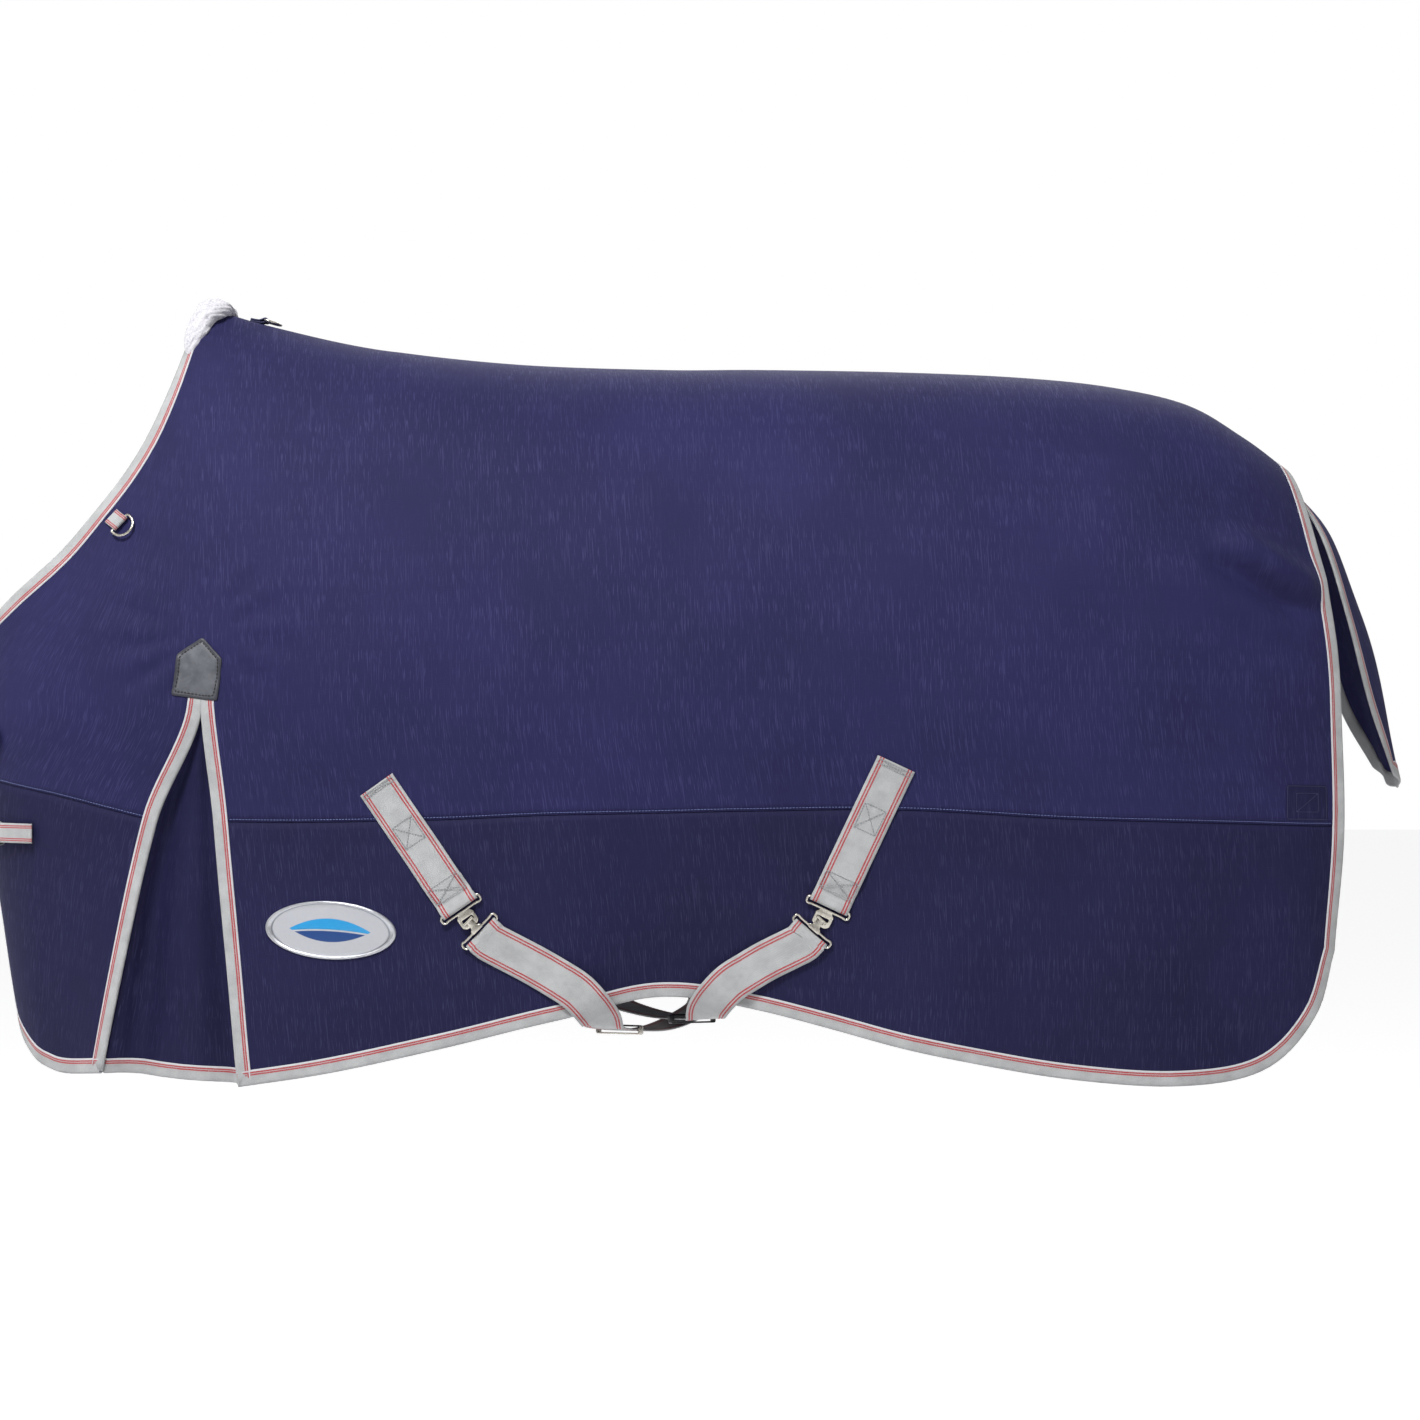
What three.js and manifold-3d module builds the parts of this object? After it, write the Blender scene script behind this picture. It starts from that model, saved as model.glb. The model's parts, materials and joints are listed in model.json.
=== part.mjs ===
// A standard-neck turnout rug for a horse, shaped as it hangs on the horse's back.
// Millimetres, +Z up. The head end is at -X, the tail at +X, and the horse's left side at -Y.
// The origin is on the inner face of the lining, on the spine behind the withers.
//
// Everything cut from cloth is a sheet: a grid of quads on one body surface, given a thickness
// along the surface's normals. Three layers share that surface: the lining, the shell panels,
// and the binding tape that folds over every raw edge. Webbing, rings, buckles and the belly
// straps are then set on it, each in a frame found on the surface.

import * as THREE from "three";
import { mergeVertices } from "three/addons/utils/BufferGeometryUtils.js";
import Module from "manifold-3d";

const wasm = await Module();
wasm.setup();

// ---------------------------------------------------------------- driving dimensions
const RUG_LENGTH = 1750; // chest front to the rear edge, straight
const RUG_DROP = 900; // seat of the spine to the lowest hem
const RUG_WIDTH = 616; // widest, across the barrel

const LINING = 1.2; // cloth thicknesses
const SHELL = 1.6;
const LAYER_GAP = 1; // between lining and shell
const SEAM_GAP = 0.4; // between pieces that are sewn edge to edge
const SPINE_FLAT = 40; // width of the flat strip that lies on the spine
const CHEST_GAP = 14; // between the two front edges

const TAPE_WIDTH = 13; // binding on the outer edges and the gusset
const TAPE_PROUD = 0.8; // how far the tape stands off the cloth, each side
const TAPE_GAP = 1.6; // between the tape and the panel inside it
const PATCH = 2; // leather and cloth reinforcement patches
const PATCH_LIFT = 2.2; // their clearance over the curved shell

const WEB_WIDTH = 50; // surcingle webbing
const WEB = 2; // webbing thickness
const BILLET_WIDTH = 25; // chest strap webbing
const WEB_LOOP_WALL = 1.5; // a fold of webbing round a bar
const BAR_PLAY = 0.6; // radial play of a bar in that fold

const BAR = 3; // section of a buckle or hook bar
const RING_WIRE = 3.4; // D-ring wire
const RING_INNER = 26; // D-ring, inside length of the straight bar

const STRAP_DROP_SAG = 14; // sag of a belly strap between the two hems
const STRAP_CROSSING = 12; // height between the two belly straps where they cross

// ---------------------------------------------------------------- colours
const NAVY = [0x34335a, 0.82, 0];
const LINING_NAVY = [0x23233f, 0.6, 0];
const TAPE = [0xc3c5c6, 0.8, 0];
const LEATHER = [0x55565c, 0.45, 0];
const FLEECE = [0xe9e8ec, 0.95, 0];
const NICKEL = [0xcfcabb, 0.28, 1];
const BLACKED = [0x2b2b2b, 0.4, 0.6];
const BADGE = [0xc9ccd0, 0.35, 0.3];

const rug = new THREE.Group();

function add(name, geometry, [color, roughness, metalness], parent = rug) {
  const material = new THREE.MeshStandardMaterial({ color, roughness, metalness });
  const mesh = new THREE.Mesh(geometry, material);
  mesh.name = name;
  parent.add(mesh);
  return mesh;
}

// ---------------------------------------------------------------- vectors
const vec = (x, y, z) => new THREE.Vector3(x, y, z);
const plus = (p, d, k = 1) => p.clone().addScaledVector(d, k);
const mix = (a, b, t) => a.clone().lerp(b, t);
const unit = (a, b) => b.clone().sub(a).normalize();
const mirrored = (p) => vec(p.x, -p.y, p.z);
const steps = (n, from = 0, to = 1) =>
  Array.from({ length: n + 1 }, (_, i) => from + ((to - from) * i) / n);

// The rails below are laid out at a nominal size and scaled to the driving dimensions.
const SCALE = vec(RUG_LENGTH / 1750, RUG_WIDTH / 616, RUG_DROP / 900);
const at = (x, y, z) => vec(x, y, z).multiply(SCALE);

// ---------------------------------------------------------------- the body surface
// Ribs run from the hem up to the spine or the neck edge. Four rails carry them: the hem, the
// side seam, the widest level and the top edge. Each rail lists x, half width and z.
const FRONT_RAILS = {
  hem: [
    [-893, 7, -812], [-879, 48, -850], [-858, 84, -877],
    [-838, 112, -888], [-812, 140, -893], [-759, 185, -889],
  ],
  seam: [
    [-953, 7, -512], [-934, 66, -519], [-884, 124, -530],
    [-812, 167, -544], [-748, 192, -559], [-688, 209, -574],
  ],
  mid: [
    [-967, 7, -452], [-948, 72, -448], [-888, 138, -438],
    [-800, 190, -426], [-712, 221, -419], [-629, 238, -417],
  ],
  top: [
    [-962, 7, -372], [-937, 66, -346], [-880, 128, -294],
    [-800, 152, -219], [-712, 118, -92], [-655, 20, 82],
  ],
};
const MAIN_RAILS = {
  hem: [
    [-583, 233, -901], [-480, 250, -884], [-340, 270, -853], [-190, 277, -815],
    [-62, 256, -788], [60, 270, -803], [240, 289, -849], [420, 285, -884],
    [570, 270, -896], [680, 248, -880], [748, 226, -815], [775, 210, -735],
  ],
  seam: [
    [-613, 234, -574], [-500, 255, -574], [-340, 284, -570], [-190, 297, -564],
    [-62, 300, -561], [60, 300, -558], [240, 296, -558], [420, 290, -568],
    [560, 277, -573], [660, 257, -576], [738, 230, -579], [787, 203, -580],
  ],
  mid: [
    [-629, 238, -417], [-515, 260, -420], [-345, 289, -425], [-190, 303, -430],
    [-62, 308, -432], [60, 308, -432], [240, 303, -430], [420, 293, -428],
    [560, 276, -425], [660, 250, -424], [735, 220, -423], [784, 190, -423],
  ],
  top: [
    [-655, 20, 82], [-565, 20, 56], [-430, 20, 27], [-250, 20, 7],
    [-62, 20, 0], [60, 20, 0], [240, 20, -3], [400, 20, -10],
    [520, 20, -23], [615, 20, -46], [685, 20, -84], [742, 20, -128],
  ],
};
const FRONT_SPANS = [2, 2, 2, 2, 3]; // columns in each span of the rails
const MAIN_SPANS = [1, 1, 1, 1, 1, 1, 1, 1, 1, 2, 2];
const LOWER_ROWS = steps(3);
const MIDDLE_ROWS = steps(2, 1, 2).slice(1);
const UPPER_ROWS = [0.17, 0.34, 0.5, 0.62, 0.74, 1].map((t) => 2 + t); // none within the tape
const ROWS = [...LOWER_ROWS, ...MIDDLE_ROWS, ...UPPER_ROWS];
const SEAM_ROW = 3; // the rows of the side seam and of the gusset's apex
const APEX_ROW = 5;
const TOP_ROW = ROWS.length - 1;

function railCurve(points) {
  const y = (w) => -(w === 20 ? SPINE_FLAT / 2 / SCALE.y : w === 7 ? CHEST_GAP / 2 / SCALE.y : w);
  return new THREE.CatmullRomCurve3(
    points.map(([x, w, z]) => at(x, y(w), z)),
    false,
    "catmullrom",
    0.5,
  );
}

function hermite(p0, p1, t0, t1, t) {
  const a = 2 * t ** 3 - 3 * t ** 2 + 1;
  const b = t ** 3 - 2 * t ** 2 + t;
  const c = t ** 3 - t ** 2;
  return vec(0, 0, 0)
    .addScaledVector(p0, a)
    .addScaledVector(p1, 1 - a)
    .addScaledVector(t0, b)
    .addScaledVector(t1, c);
}

// One rib as a function of its row value: 0 at the hem, 1 seam, 2 widest level, 3 top edge.
// Over the back it meets the spine level; at the withers and the neck edge it is still steep.
function rib({ hem, seam, mid, top }) {
  const overBack = THREE.MathUtils.clamp((top.x / SCALE.x + 700) / 300, 0, 1);
  const rise = top.z - mid.z;
  const width = top.y - mid.y;
  const lower = unit(hem, mid);
  const bow = 1.1 + 0.5 * overBack;
  const atMid = vec((top.x - mid.x) * 0.4, width * 0.12, rise * bow);
  const level = vec(0, width * 1.75, 0);
  const atTop = level.lerp(vec(top.x - mid.x, width, rise), 0.6 * (1 - overBack));
  const midHeading = atMid.clone().normalize();
  const hemToSeam = hem.distanceTo(seam);
  const seamToMid = seam.distanceTo(mid);
  return (row) => {
    if (row <= 1) {
      const low = lower.clone().multiplyScalar(hemToSeam);
      return hermite(hem, seam, unit(hem, seam).multiplyScalar(hemToSeam), low, row);
    }
    if (row <= 2) {
      const from = lower.clone().multiplyScalar(seamToMid);
      return hermite(seam, mid, from, midHeading.clone().multiplyScalar(seamToMid), row - 1);
    }
    return hermite(mid, top, atMid, atTop, row - 2);
  };
}

// Columns of points, front to rear, of one patch on the left side.
function patch(rails, spans) {
  const curves = Object.fromEntries(
    Object.entries(rails).map(([name, points]) => [name, railCurve(points)]),
  );
  const where = [0];
  spans.forEach((n, span) => steps(n).slice(1).forEach((t) => where.push((span + t) / spans.length)));
  return where.map((u) => {
    const points = Object.fromEntries(Object.entries(curves).map(([n, c]) => [n, c.getPoint(u)]));
    const ribAt = rib(points);
    return ROWS.map((row) => ribAt(row));
  });
}

const frontLeft = patch(FRONT_RAILS, FRONT_SPANS);
const mainLeft = patch(MAIN_RAILS, MAIN_SPANS);
const FRONT_LAST = frontLeft.length - 1;
const MAIN_LAST = mainLeft.length - 1;
// Both patches hang from one rib above the gusset.
for (let row = APEX_ROW; row <= TOP_ROW; row += 1) frontLeft[FRONT_LAST][row].copy(mainLeft[0][row]);
// The seat: one column either side of the origin, dead level.
mainLeft.forEach((column) => {
  if (Math.abs(column[TOP_ROW].z) < 0.2) column[TOP_ROW].z = 0;
});

// ---------------------------------------------------------------- sheets
// A sheet is welded quads, each with a label. Quads turn anticlockwise seen from outside.
class Sheet {
  constructor() {
    this.points = [];
    this.given = []; // normals taken over from the sheet it was cut from
    this.quads = [];
    this.index = new Map();
  }

  point(p, normal) {
    const key = [p.x, p.y, p.z].map((k) => Math.round(k * 50)).join(",");
    if (!this.index.has(key)) {
      this.index.set(key, this.points.length);
      this.points.push(p.clone());
      this.given.push(normal);
    }
    return this.index.get(key);
  }

  quad(a, b, c, d, label = "") {
    this.quads.push({ corners: [a, b, c, d].map((p) => this.point(p)), label });
  }

  grid(columns, rows, label, flip = false) {
    for (let i = 0; i + 1 < columns.length; i += 1) {
      for (let k = 0; k + 1 < rows.length; k += 1) {
        const [low, high] = [rows[k], rows[k + 1]];
        const [a, b] = [columns[i], columns[i + 1]];
        const corners = flip
          ? [a[low], a[high], b[high], b[low]]
          : [a[low], b[low], b[high], a[high]];
        this.quad(...corners, typeof label === "function" ? label(k) : label);
      }
    }
  }

  normals() {
    const found = this.points.map(() => vec(0, 0, 0));
    this.quads.forEach(({ corners: [a, b, c, d] }) => {
      const [pa, pb, pc, pd] = [a, b, c, d].map((k) => this.points[k]);
      const n = pc.clone().sub(pa).cross(pd.clone().sub(pb));
      [a, b, c, d].forEach((k) => found[k].add(n));
    });
    return found.map((n, k) => this.given[k] ?? n.normalize());
  }

  // Edges that only one quad uses, as from -> to, with the sheet on the left.
  border() {
    const uses = new Map();
    this.quads.forEach(({ corners }) => {
      const [a, b, c, d] = corners.map((k) => this.points[k]);
      const facing = c.clone().sub(a).cross(d.clone().sub(b)).normalize();
      corners.forEach((from, k) => {
        const to = corners[(k + 1) % 4];
        if (!uses.delete(`${to},${from}`)) uses.set(`${from},${to}`, [from, to, facing]);
      });
    });
    return [...uses.values()];
  }

  // The points each point shares an edge with, leaving out the edges on the border.
  innerNeighbours() {
    const onBorder = new Set(this.border().flatMap(([a, b]) => [`${a},${b}`, `${b},${a}`]));
    const found = this.points.map(() => []);
    this.quads.forEach(({ corners }) => {
      corners.forEach((a, k) => {
        const b = corners[(k + 1) % 4];
        if (onBorder.has(`${a},${b}`)) return;
        found[a].push(b);
        found[b].push(a);
      });
    });
    return found;
  }

  // Where each border point goes when the border moves in by a distance. It slides along the
  // inner edge that leads in most squarely, so it stays on the faceted surface.
  insetPoints(distance) {
    const inward = new Map();
    this.border().forEach(([a, b, facing]) => {
      const heading = unit(this.points[a], this.points[b]);
      [a, b].forEach((k) => {
        if (!inward.has(k)) inward.set(k, []);
        inward.get(k).push(facing.clone().cross(heading).normalize());
      });
    });
    const moved = this.points.map((p) => p.clone());
    const neighbours = this.innerNeighbours();
    inward.forEach(([m1, m2], k) => {
      const middle = m1.clone().add(m2).normalize();
      const reach = Math.min(1 / Math.max(middle.dot(m1), 0.01), 2.2);
      const ways = neighbours[k].map((other) => unit(this.points[k], this.points[other]));
      ways.sort((one, two) => two.dot(middle) - one.dot(middle));
      const way = ways.length && ways[0].dot(middle) > 0.5 ? ways[0] : middle;
      moved[k] = plus(this.points[k], way, (distance * reach) / way.dot(middle));
    });
    return moved;
  }

  // The quads whose label passes, with the points moved to new places. The normals stay.
  part(keep, places = this.points) {
    const made = new Sheet();
    const normals = this.normals();
    this.quads.filter(({ label }) => keep(label)).forEach(({ corners, label }) => {
      corners.forEach((k) => made.point(places[k], normals[k]));
      made.quad(...corners.map((k) => places[k]), label);
    });
    return made;
  }

  // The closed solid between two offsets from the sheet.
  solid(inner, outer, normals = this.normals()) {
    const at2 = (offset) => this.points.map((p, k) => plus(p, normals[k], offset));
    const [high, low] = [at2(outer), at2(inner)];
    const faces = [];
    const face = (a, b, c, d) => faces.push(a, b, c, a, c, d);
    this.quads.forEach(({ corners: [a, b, c, d] }) => {
      face(high[a], high[b], high[c], high[d]);
      faces.push(low[a], low[c], low[b], low[a], low[d], low[c]);
    });
    // Walls that face each other split along the same diagonal, so the gap between them is even.
    const order = ({ x, z }) => x + 1.3 * z;
    this.border().forEach(([a, b]) => {
      if (order(this.points[a]) < order(this.points[b])) face(high[a], low[a], low[b], high[b]);
      else face(low[a], low[b], high[b], high[a]);
    });
    return new THREE.BufferGeometry().setFromPoints(faces);
  }
}

// ---------------------------------------------------------------- solids from sections
// A loft joins equal closed sections. Its ends are capped, unless it runs round on itself.
function loft(sections, { closed = false } = {}) {
  const faces = [];
  const count = sections[0].length;
  const last = closed ? sections.length : sections.length - 1;
  for (let i = 0; i < last; i += 1) {
    const [a, b] = [sections[i], sections[(i + 1) % sections.length]];
    for (let k = 0; k < count; k += 1) {
      const n = (k + 1) % count;
      faces.push(a[k], b[n], b[k], a[k], a[n], b[n]);
    }
  }
  const cap = (ring, front) => {
    const [u, v] = planeOf(ring);
    const flat = ring.map((p) => new THREE.Vector2(p.dot(u), p.dot(v)));
    THREE.ShapeUtils.triangulateShape(flat, []).forEach((triangle) => {
      const [a, b, c] = triangle.map((k) => ring[k]);
      if (front) faces.push(a, c, b);
      else faces.push(a, b, c);
    });
  };
  if (!closed) {
    cap(sections[0], true);
    cap(sections[sections.length - 1], false);
  }
  const geometry = new THREE.BufferGeometry().setFromPoints(faces);
  return volume(geometry) < 0 ? turned(geometry) : geometry;
}

function planeOf(ring) {
  const normal = vec(0, 0, 0);
  ring.forEach((p, k) => normal.add(p.clone().cross(ring[(k + 1) % ring.length])));
  normal.normalize();
  const u = unit(ring[0], ring[1]);
  return [u, normal.clone().cross(u)];
}

function volume(geometry) {
  const p = geometry.attributes.position;
  let sum = 0;
  for (let i = 0; i < p.count; i += 3) {
    const [a, b, c] = [0, 1, 2].map((k) => vec().fromBufferAttribute(p, i + k));
    sum += a.dot(b.cross(c));
  }
  return sum / 6;
}

function turned(geometry) {
  const p = geometry.attributes.position;
  const faces = [];
  for (let i = 0; i < p.count; i += 3) {
    [0, 2, 1].forEach((k) => faces.push(vec().fromBufferAttribute(p, i + k)));
  }
  return new THREE.BufferGeometry().setFromPoints(faces);
}

// A flat bar of webbing: rectangular sections, each at a centre, across a width and a normal.
function ribbon(stations, width, thickness) {
  return loft(
    stations.map(({ centre, across, normal }) =>
      [[-1, -1], [1, -1], [1, 1], [-1, 1]].map(([s, t]) =>
        plus(plus(centre, across, (s * width) / 2), normal, (t * thickness) / 2),
      ),
    ),
  );
}

// Geometry in a frame's own x, y, z, moved to where the frame is.
function placed(geometry, { origin, across, along, normal }) {
  return geometry.clone().applyMatrix4(
    new THREE.Matrix4().makeBasis(across, along, normal).setPosition(origin),
  );
}

function asSolid(geometry) {
  const bare = geometry.index ? geometry.toNonIndexed() : geometry.clone();
  Object.keys(bare.attributes).filter((n) => n !== "position").forEach((n) => bare.deleteAttribute(n));
  const merged = mergeVertices(bare, 1e-3);
  return new wasm.Manifold(
    new wasm.Mesh({
      numProp: 3,
      vertProperties: merged.attributes.position.array,
      triVerts: new Uint32Array(merged.index.array),
    }),
  );
}

function asGeometry(solid) {
  const mesh = solid.getMesh();
  return new THREE.BufferGeometry()
    .setAttribute("position", new THREE.BufferAttribute(new Float32Array(mesh.vertProperties), 3))
    .setIndex(new THREE.BufferAttribute(new Uint32Array(mesh.triVerts), 1));
}

const joined = (...geometries) =>
  asGeometry(geometries.map(asSolid).reduce((all, next) => all.add(next)));

function extruded(outline, depth, holes = []) {
  const toPath = (points) => points.map(([x, y]) => new THREE.Vector2(x, y));
  const shape = new THREE.Shape(toPath(outline));
  holes.forEach((hole) => shape.holes.push(new THREE.Path(toPath(hole))));
  return new THREE.ExtrudeGeometry(shape, { depth, bevelEnabled: false }).translate(0, 0, -depth / 2);
}

const circle = (r, n, [x, y] = [0, 0]) =>
  steps(n).slice(0, n).map((t) => {
    const angle = 2 * Math.PI * t + Math.PI / n;
    return [x + r * Math.cos(angle), y + r * Math.sin(angle)];
  });

const rectangle = (x0, y0, x1, y1) => [[x0, y0], [x1, y0], [x1, y1], [x0, y1]];

function roundedRectangle(x0, y0, x1, y1, r) {
  const corners = [[x1 - r, y0 + r, -90], [x1 - r, y1 - r, 0], [x0 + r, y1 - r, 90], [x0 + r, y0 + r, 180]];
  return corners.flatMap(([x, y, from]) =>
    [0, 45, 90].map((turn) => {
      const angle = ((from + turn) * Math.PI) / 180;
      return [x + r * Math.cos(angle), y + r * Math.sin(angle)];
    }),
  );
}

// ---------------------------------------------------------------- the whole cloth
const flipY = (columns) => columns.map((column) => column.map(mirrored));
const frontRight = flipY(frontLeft);
const mainRight = flipY(mainLeft);
const ALL_ROWS = ROWS.map((_, k) => k);
const level = (name) => (k) => `${name} ${k < SEAM_ROW ? "lower" : "upper"}`;

const cloth = new Sheet();
cloth.grid(frontLeft, ALL_ROWS, level("left front"));
cloth.grid(mainLeft, ALL_ROWS, level("left main"));
cloth.grid(frontRight, ALL_ROWS, level("right front"), true);
cloth.grid(mainRight, ALL_ROWS, level("right main"), true);
for (let i = 0; i < MAIN_LAST; i += 1) {
  const [a, b, c, d] = [mainLeft[i], mainLeft[i + 1], mainRight[i + 1], mainRight[i]];
  cloth.quad(a[TOP_ROW], b[TOP_ROW], c[TOP_ROW], d[TOP_ROW], "spine upper");
}

const SHELL_INNER = LINING + LAYER_GAP;
const SHELL_OUTER = SHELL_INNER + SHELL;
const TAPE_INNER = -TAPE_PROUD;
const TAPE_OUTER = SHELL_OUTER + TAPE_PROUD;
const clothNormals = cloth.normals();
const trimmed = cloth.insetPoints(TAPE_WIDTH + TAPE_GAP);

// A panel of the cloth inside the tape, drawn in a little from the panels it is sewn to.
function panel(name, keep, inner, outer, colour, drawIn = 0) {
  const flat = cloth.part(keep, trimmed);
  const inset = flat.insetPoints(drawIn);
  add(name, flat.part(() => true, inset).solid(inner, outer), colour);
}

panel("lining", () => true, 0, LINING, LINING_NAVY);
panel("shell_upper", (label) => label.endsWith("upper"), SHELL_INNER, SHELL_OUTER, NAVY);
for (const side of ["left", "right"]) {
  const lower = (where) => (label) => label === `${side} ${where} lower`;
  panel(`side_panel_${side}`, lower("main"), SHELL_INNER, SHELL_OUTER, NAVY, SEAM_GAP);
  panel(`chest_panel_${side}`, lower("front"), SHELL_INNER, SHELL_OUTER, NAVY, SEAM_GAP);
}

// ---------------------------------------------------------------- binding tape
const tapeEdge = cloth.insetPoints(TAPE_WIDTH);

// One length of tape along a chain of the cloth's border points.
function tape(name, chain) {
  const keys = chain.map((p) => cloth.point(p));
  const outer = keys.map((k) => cloth.points[k].clone());
  const inner = keys.map((k) => tapeEdge[k].clone());
  [outer, inner].forEach((line) => {
    line[0].addScaledVector(unit(line[0], line[1]), SEAM_GAP);
    const end = line.length - 1;
    line[end].addScaledVector(unit(line[end], line[end - 1]), SEAM_GAP);
  });
  const strip = new Sheet();
  keys.forEach((key, k) => [outer, inner].forEach((line) => strip.point(line[k], clothNormals[key])));
  const across = unit(outer[0], outer[1]).cross(unit(outer[0], inner[0]));
  const facesOut = across.dot(clothNormals[keys[0]]) > 0;
  for (let k = 0; k + 1 < keys.length; k += 1) {
    const corners = [outer[k], outer[k + 1], inner[k + 1], inner[k]];
    if (!facesOut) corners.reverse();
    strip.quad(...corners);
  }
  add(name, strip.solid(TAPE_INNER, TAPE_OUTER), TAPE);
}

const column = (columns, i, to = TOP_ROW) => columns[i].slice(0, to + 1);
const row = (columns, k) => columns.map((one) => one[k]);
const neckLeft = row(frontLeft, TOP_ROW);
tape("neck_binding", [...neckLeft, ...neckLeft.map(mirrored).reverse()]);
for (const [side, front, main] of [
  ["left", frontLeft, mainLeft],
  ["right", frontRight, mainRight],
]) {
  const down = column(front, 0).slice().reverse();
  tape(`front_binding_${side}`, [...down, ...row(front, 0).slice(1)]);
  tape(`gusset_front_binding_${side}`, column(front, FRONT_LAST, APEX_ROW));
  tape(`gusset_rear_binding_${side}`, column(main, 0, APEX_ROW));
}
const hemAndRear = (main) => [...row(main, 0), ...column(main, MAIN_LAST).slice(1)];
tape("hem_binding_left", [...hemAndRear(mainLeft), mainRight[MAIN_LAST][TOP_ROW]]);
tape("hem_binding_right", hemAndRear(mainRight));

// ---------------------------------------------------------------- finding the surface
// A ray at the faceted cloth gives the point under it and the sheet's smooth normal there.
const target = new THREE.Mesh(cloth.solid(-0.01, 0), new THREE.MeshBasicMaterial());
const caster = new THREE.Raycaster();

function struck(from, towards) {
  caster.set(from, towards);
  const [hit] = caster.intersectObject(target);
  if (!hit) throw new Error(`no cloth under ${from.toArray()}`);
  return { point: hit.point, normal: hit.face.normal.clone() };
}

// A point on the left side, and the normal averaged over the facets near it.
function onSide(x, z, lift = 0) {
  const cast = (dx, dz) => struck(vec(x + dx, -2000, z + dz), vec(0, 1, 0));
  const { point } = cast(0, 0);
  const normal = vec(0, 0, 0);
  [[0, 0], [14, 0], [-14, 0], [0, 14], [0, -14]].forEach(([dx, dz]) => {
    normal.add(cast(dx, dz).normal);
  });
  normal.normalize();
  return { point: plus(point, normal, lift), normal };
}

// A frame on the left side: along is the heading in the surface, across lies beside it.
function frameOnSide(x, z, heading, lift) {
  const { point, normal } = onSide(x, z, lift);
  const along = heading.clone().addScaledVector(normal, -heading.dot(normal)).normalize();
  return { origin: point, along, normal, across: along.clone().cross(normal) };
}

const SIDES = [["left", (geometry) => geometry], ["right", inMirror]];

function inMirror(geometry) {
  const flipped = (geometry.index ? geometry.toNonIndexed() : geometry.clone()).scale(1, -1, 1);
  return turned(flipped);
}

// A patch cut to a flat outline and laid on the left side.
function laid(outline, { origin, along, across }, lift, thickness, grain = 3) {
  const ys = outline.map(([, y]) => y);
  const [low, high] = [Math.min(...ys), Math.max(...ys)];
  const levels = [...new Set([...ys, ...steps(grain, low, high)].map((y) => +y.toFixed(3)))];
  levels.sort((a, b) => a - b);
  const span = (y) => {
    const xs = [];
    outline.forEach(([x0, y0], k) => {
      const [x1, y1] = outline[(k + 1) % outline.length];
      if ((y - y0) * (y - y1) <= 1e-9 && y0 !== y1) xs.push(x0 + ((x1 - x0) * (y - y0)) / (y1 - y0));
      if (y0 === y1 && Math.abs(y - y0) < 1e-6) xs.push(x0, x1);
    });
    return [Math.min(...xs), Math.max(...xs)];
  };
  const spot = (x, y) => {
    const flat = plus(plus(origin, across, x), along, y);
    return onSide(flat.x, flat.z, lift + thickness / 2).point;
  };
  const rows = levels.map((y) => {
    const [x0, x1] = span(y);
    const wide = Math.max(x1 - x0, 1);
    return steps(4, (x0 + x1 - wide) / 2, (x0 + x1 + wide) / 2).map((x) => spot(x, y));
  });
  const sheet = new Sheet();
  sheet.grid(rows, [0, 1, 2, 3, 4], "", false);
  const outward = sheet.normals()[0].y < 0;
  const made = sheet.solid(-thickness / 2, thickness / 2);
  return outward ? made : turnedSheet(rows, thickness);
}

function turnedSheet(rows, thickness) {
  const sheet = new Sheet();
  sheet.grid(rows, [0, 1, 2, 3, 4], "", true);
  return sheet.solid(-thickness / 2, thickness / 2);
}

// ---------------------------------------------------------------- shoulder gussets
const GUSSET_OVERLAP = 16; // how far the insert reaches behind each bound edge
const GUSSET_DEPTH = 14; // how deep its pleat hangs behind them
const GUSSET_UNDER = 4.4; // clearance behind the lining
const GUSSET_HEM = 3; // the hem strip stops this far inside the opening

const behindEdge = cloth.insetPoints(GUSSET_OVERLAP);

// Seven points across the insert: a flank behind each edge and the pleat between them.
function gussetRow(k) {
  const keys = [frontLeft[FRONT_LAST][k], mainLeft[0][k]].map((p) => cloth.point(p));
  const under = (places) => keys.map((key) => plus(places[key], clothNormals[key], -GUSSET_UNDER));
  const [front, rear] = under(cloth.points);
  const [frontFlank, rearFlank] = under(behindEdge);
  if (k === APEX_ROW) {
    return steps(6, -1, 1).map((t) => plus(frontFlank, vec(GUSSET_OVERLAP, 0, 0), t));
  }
  const normal = clothNormals[keys[0]].clone().add(clothNormals[keys[1]]).normalize();
  const depth = GUSSET_DEPTH * Math.min(1, front.distanceTo(rear) / 80);
  const pleat = [0.25, 0.5, 0.75].map((t) =>
    plus(mix(front, rear, t), normal, -depth * 4 * t * (1 - t)),
  );
  return [frontFlank, front, ...pleat, rear, rearFlank];
}

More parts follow.
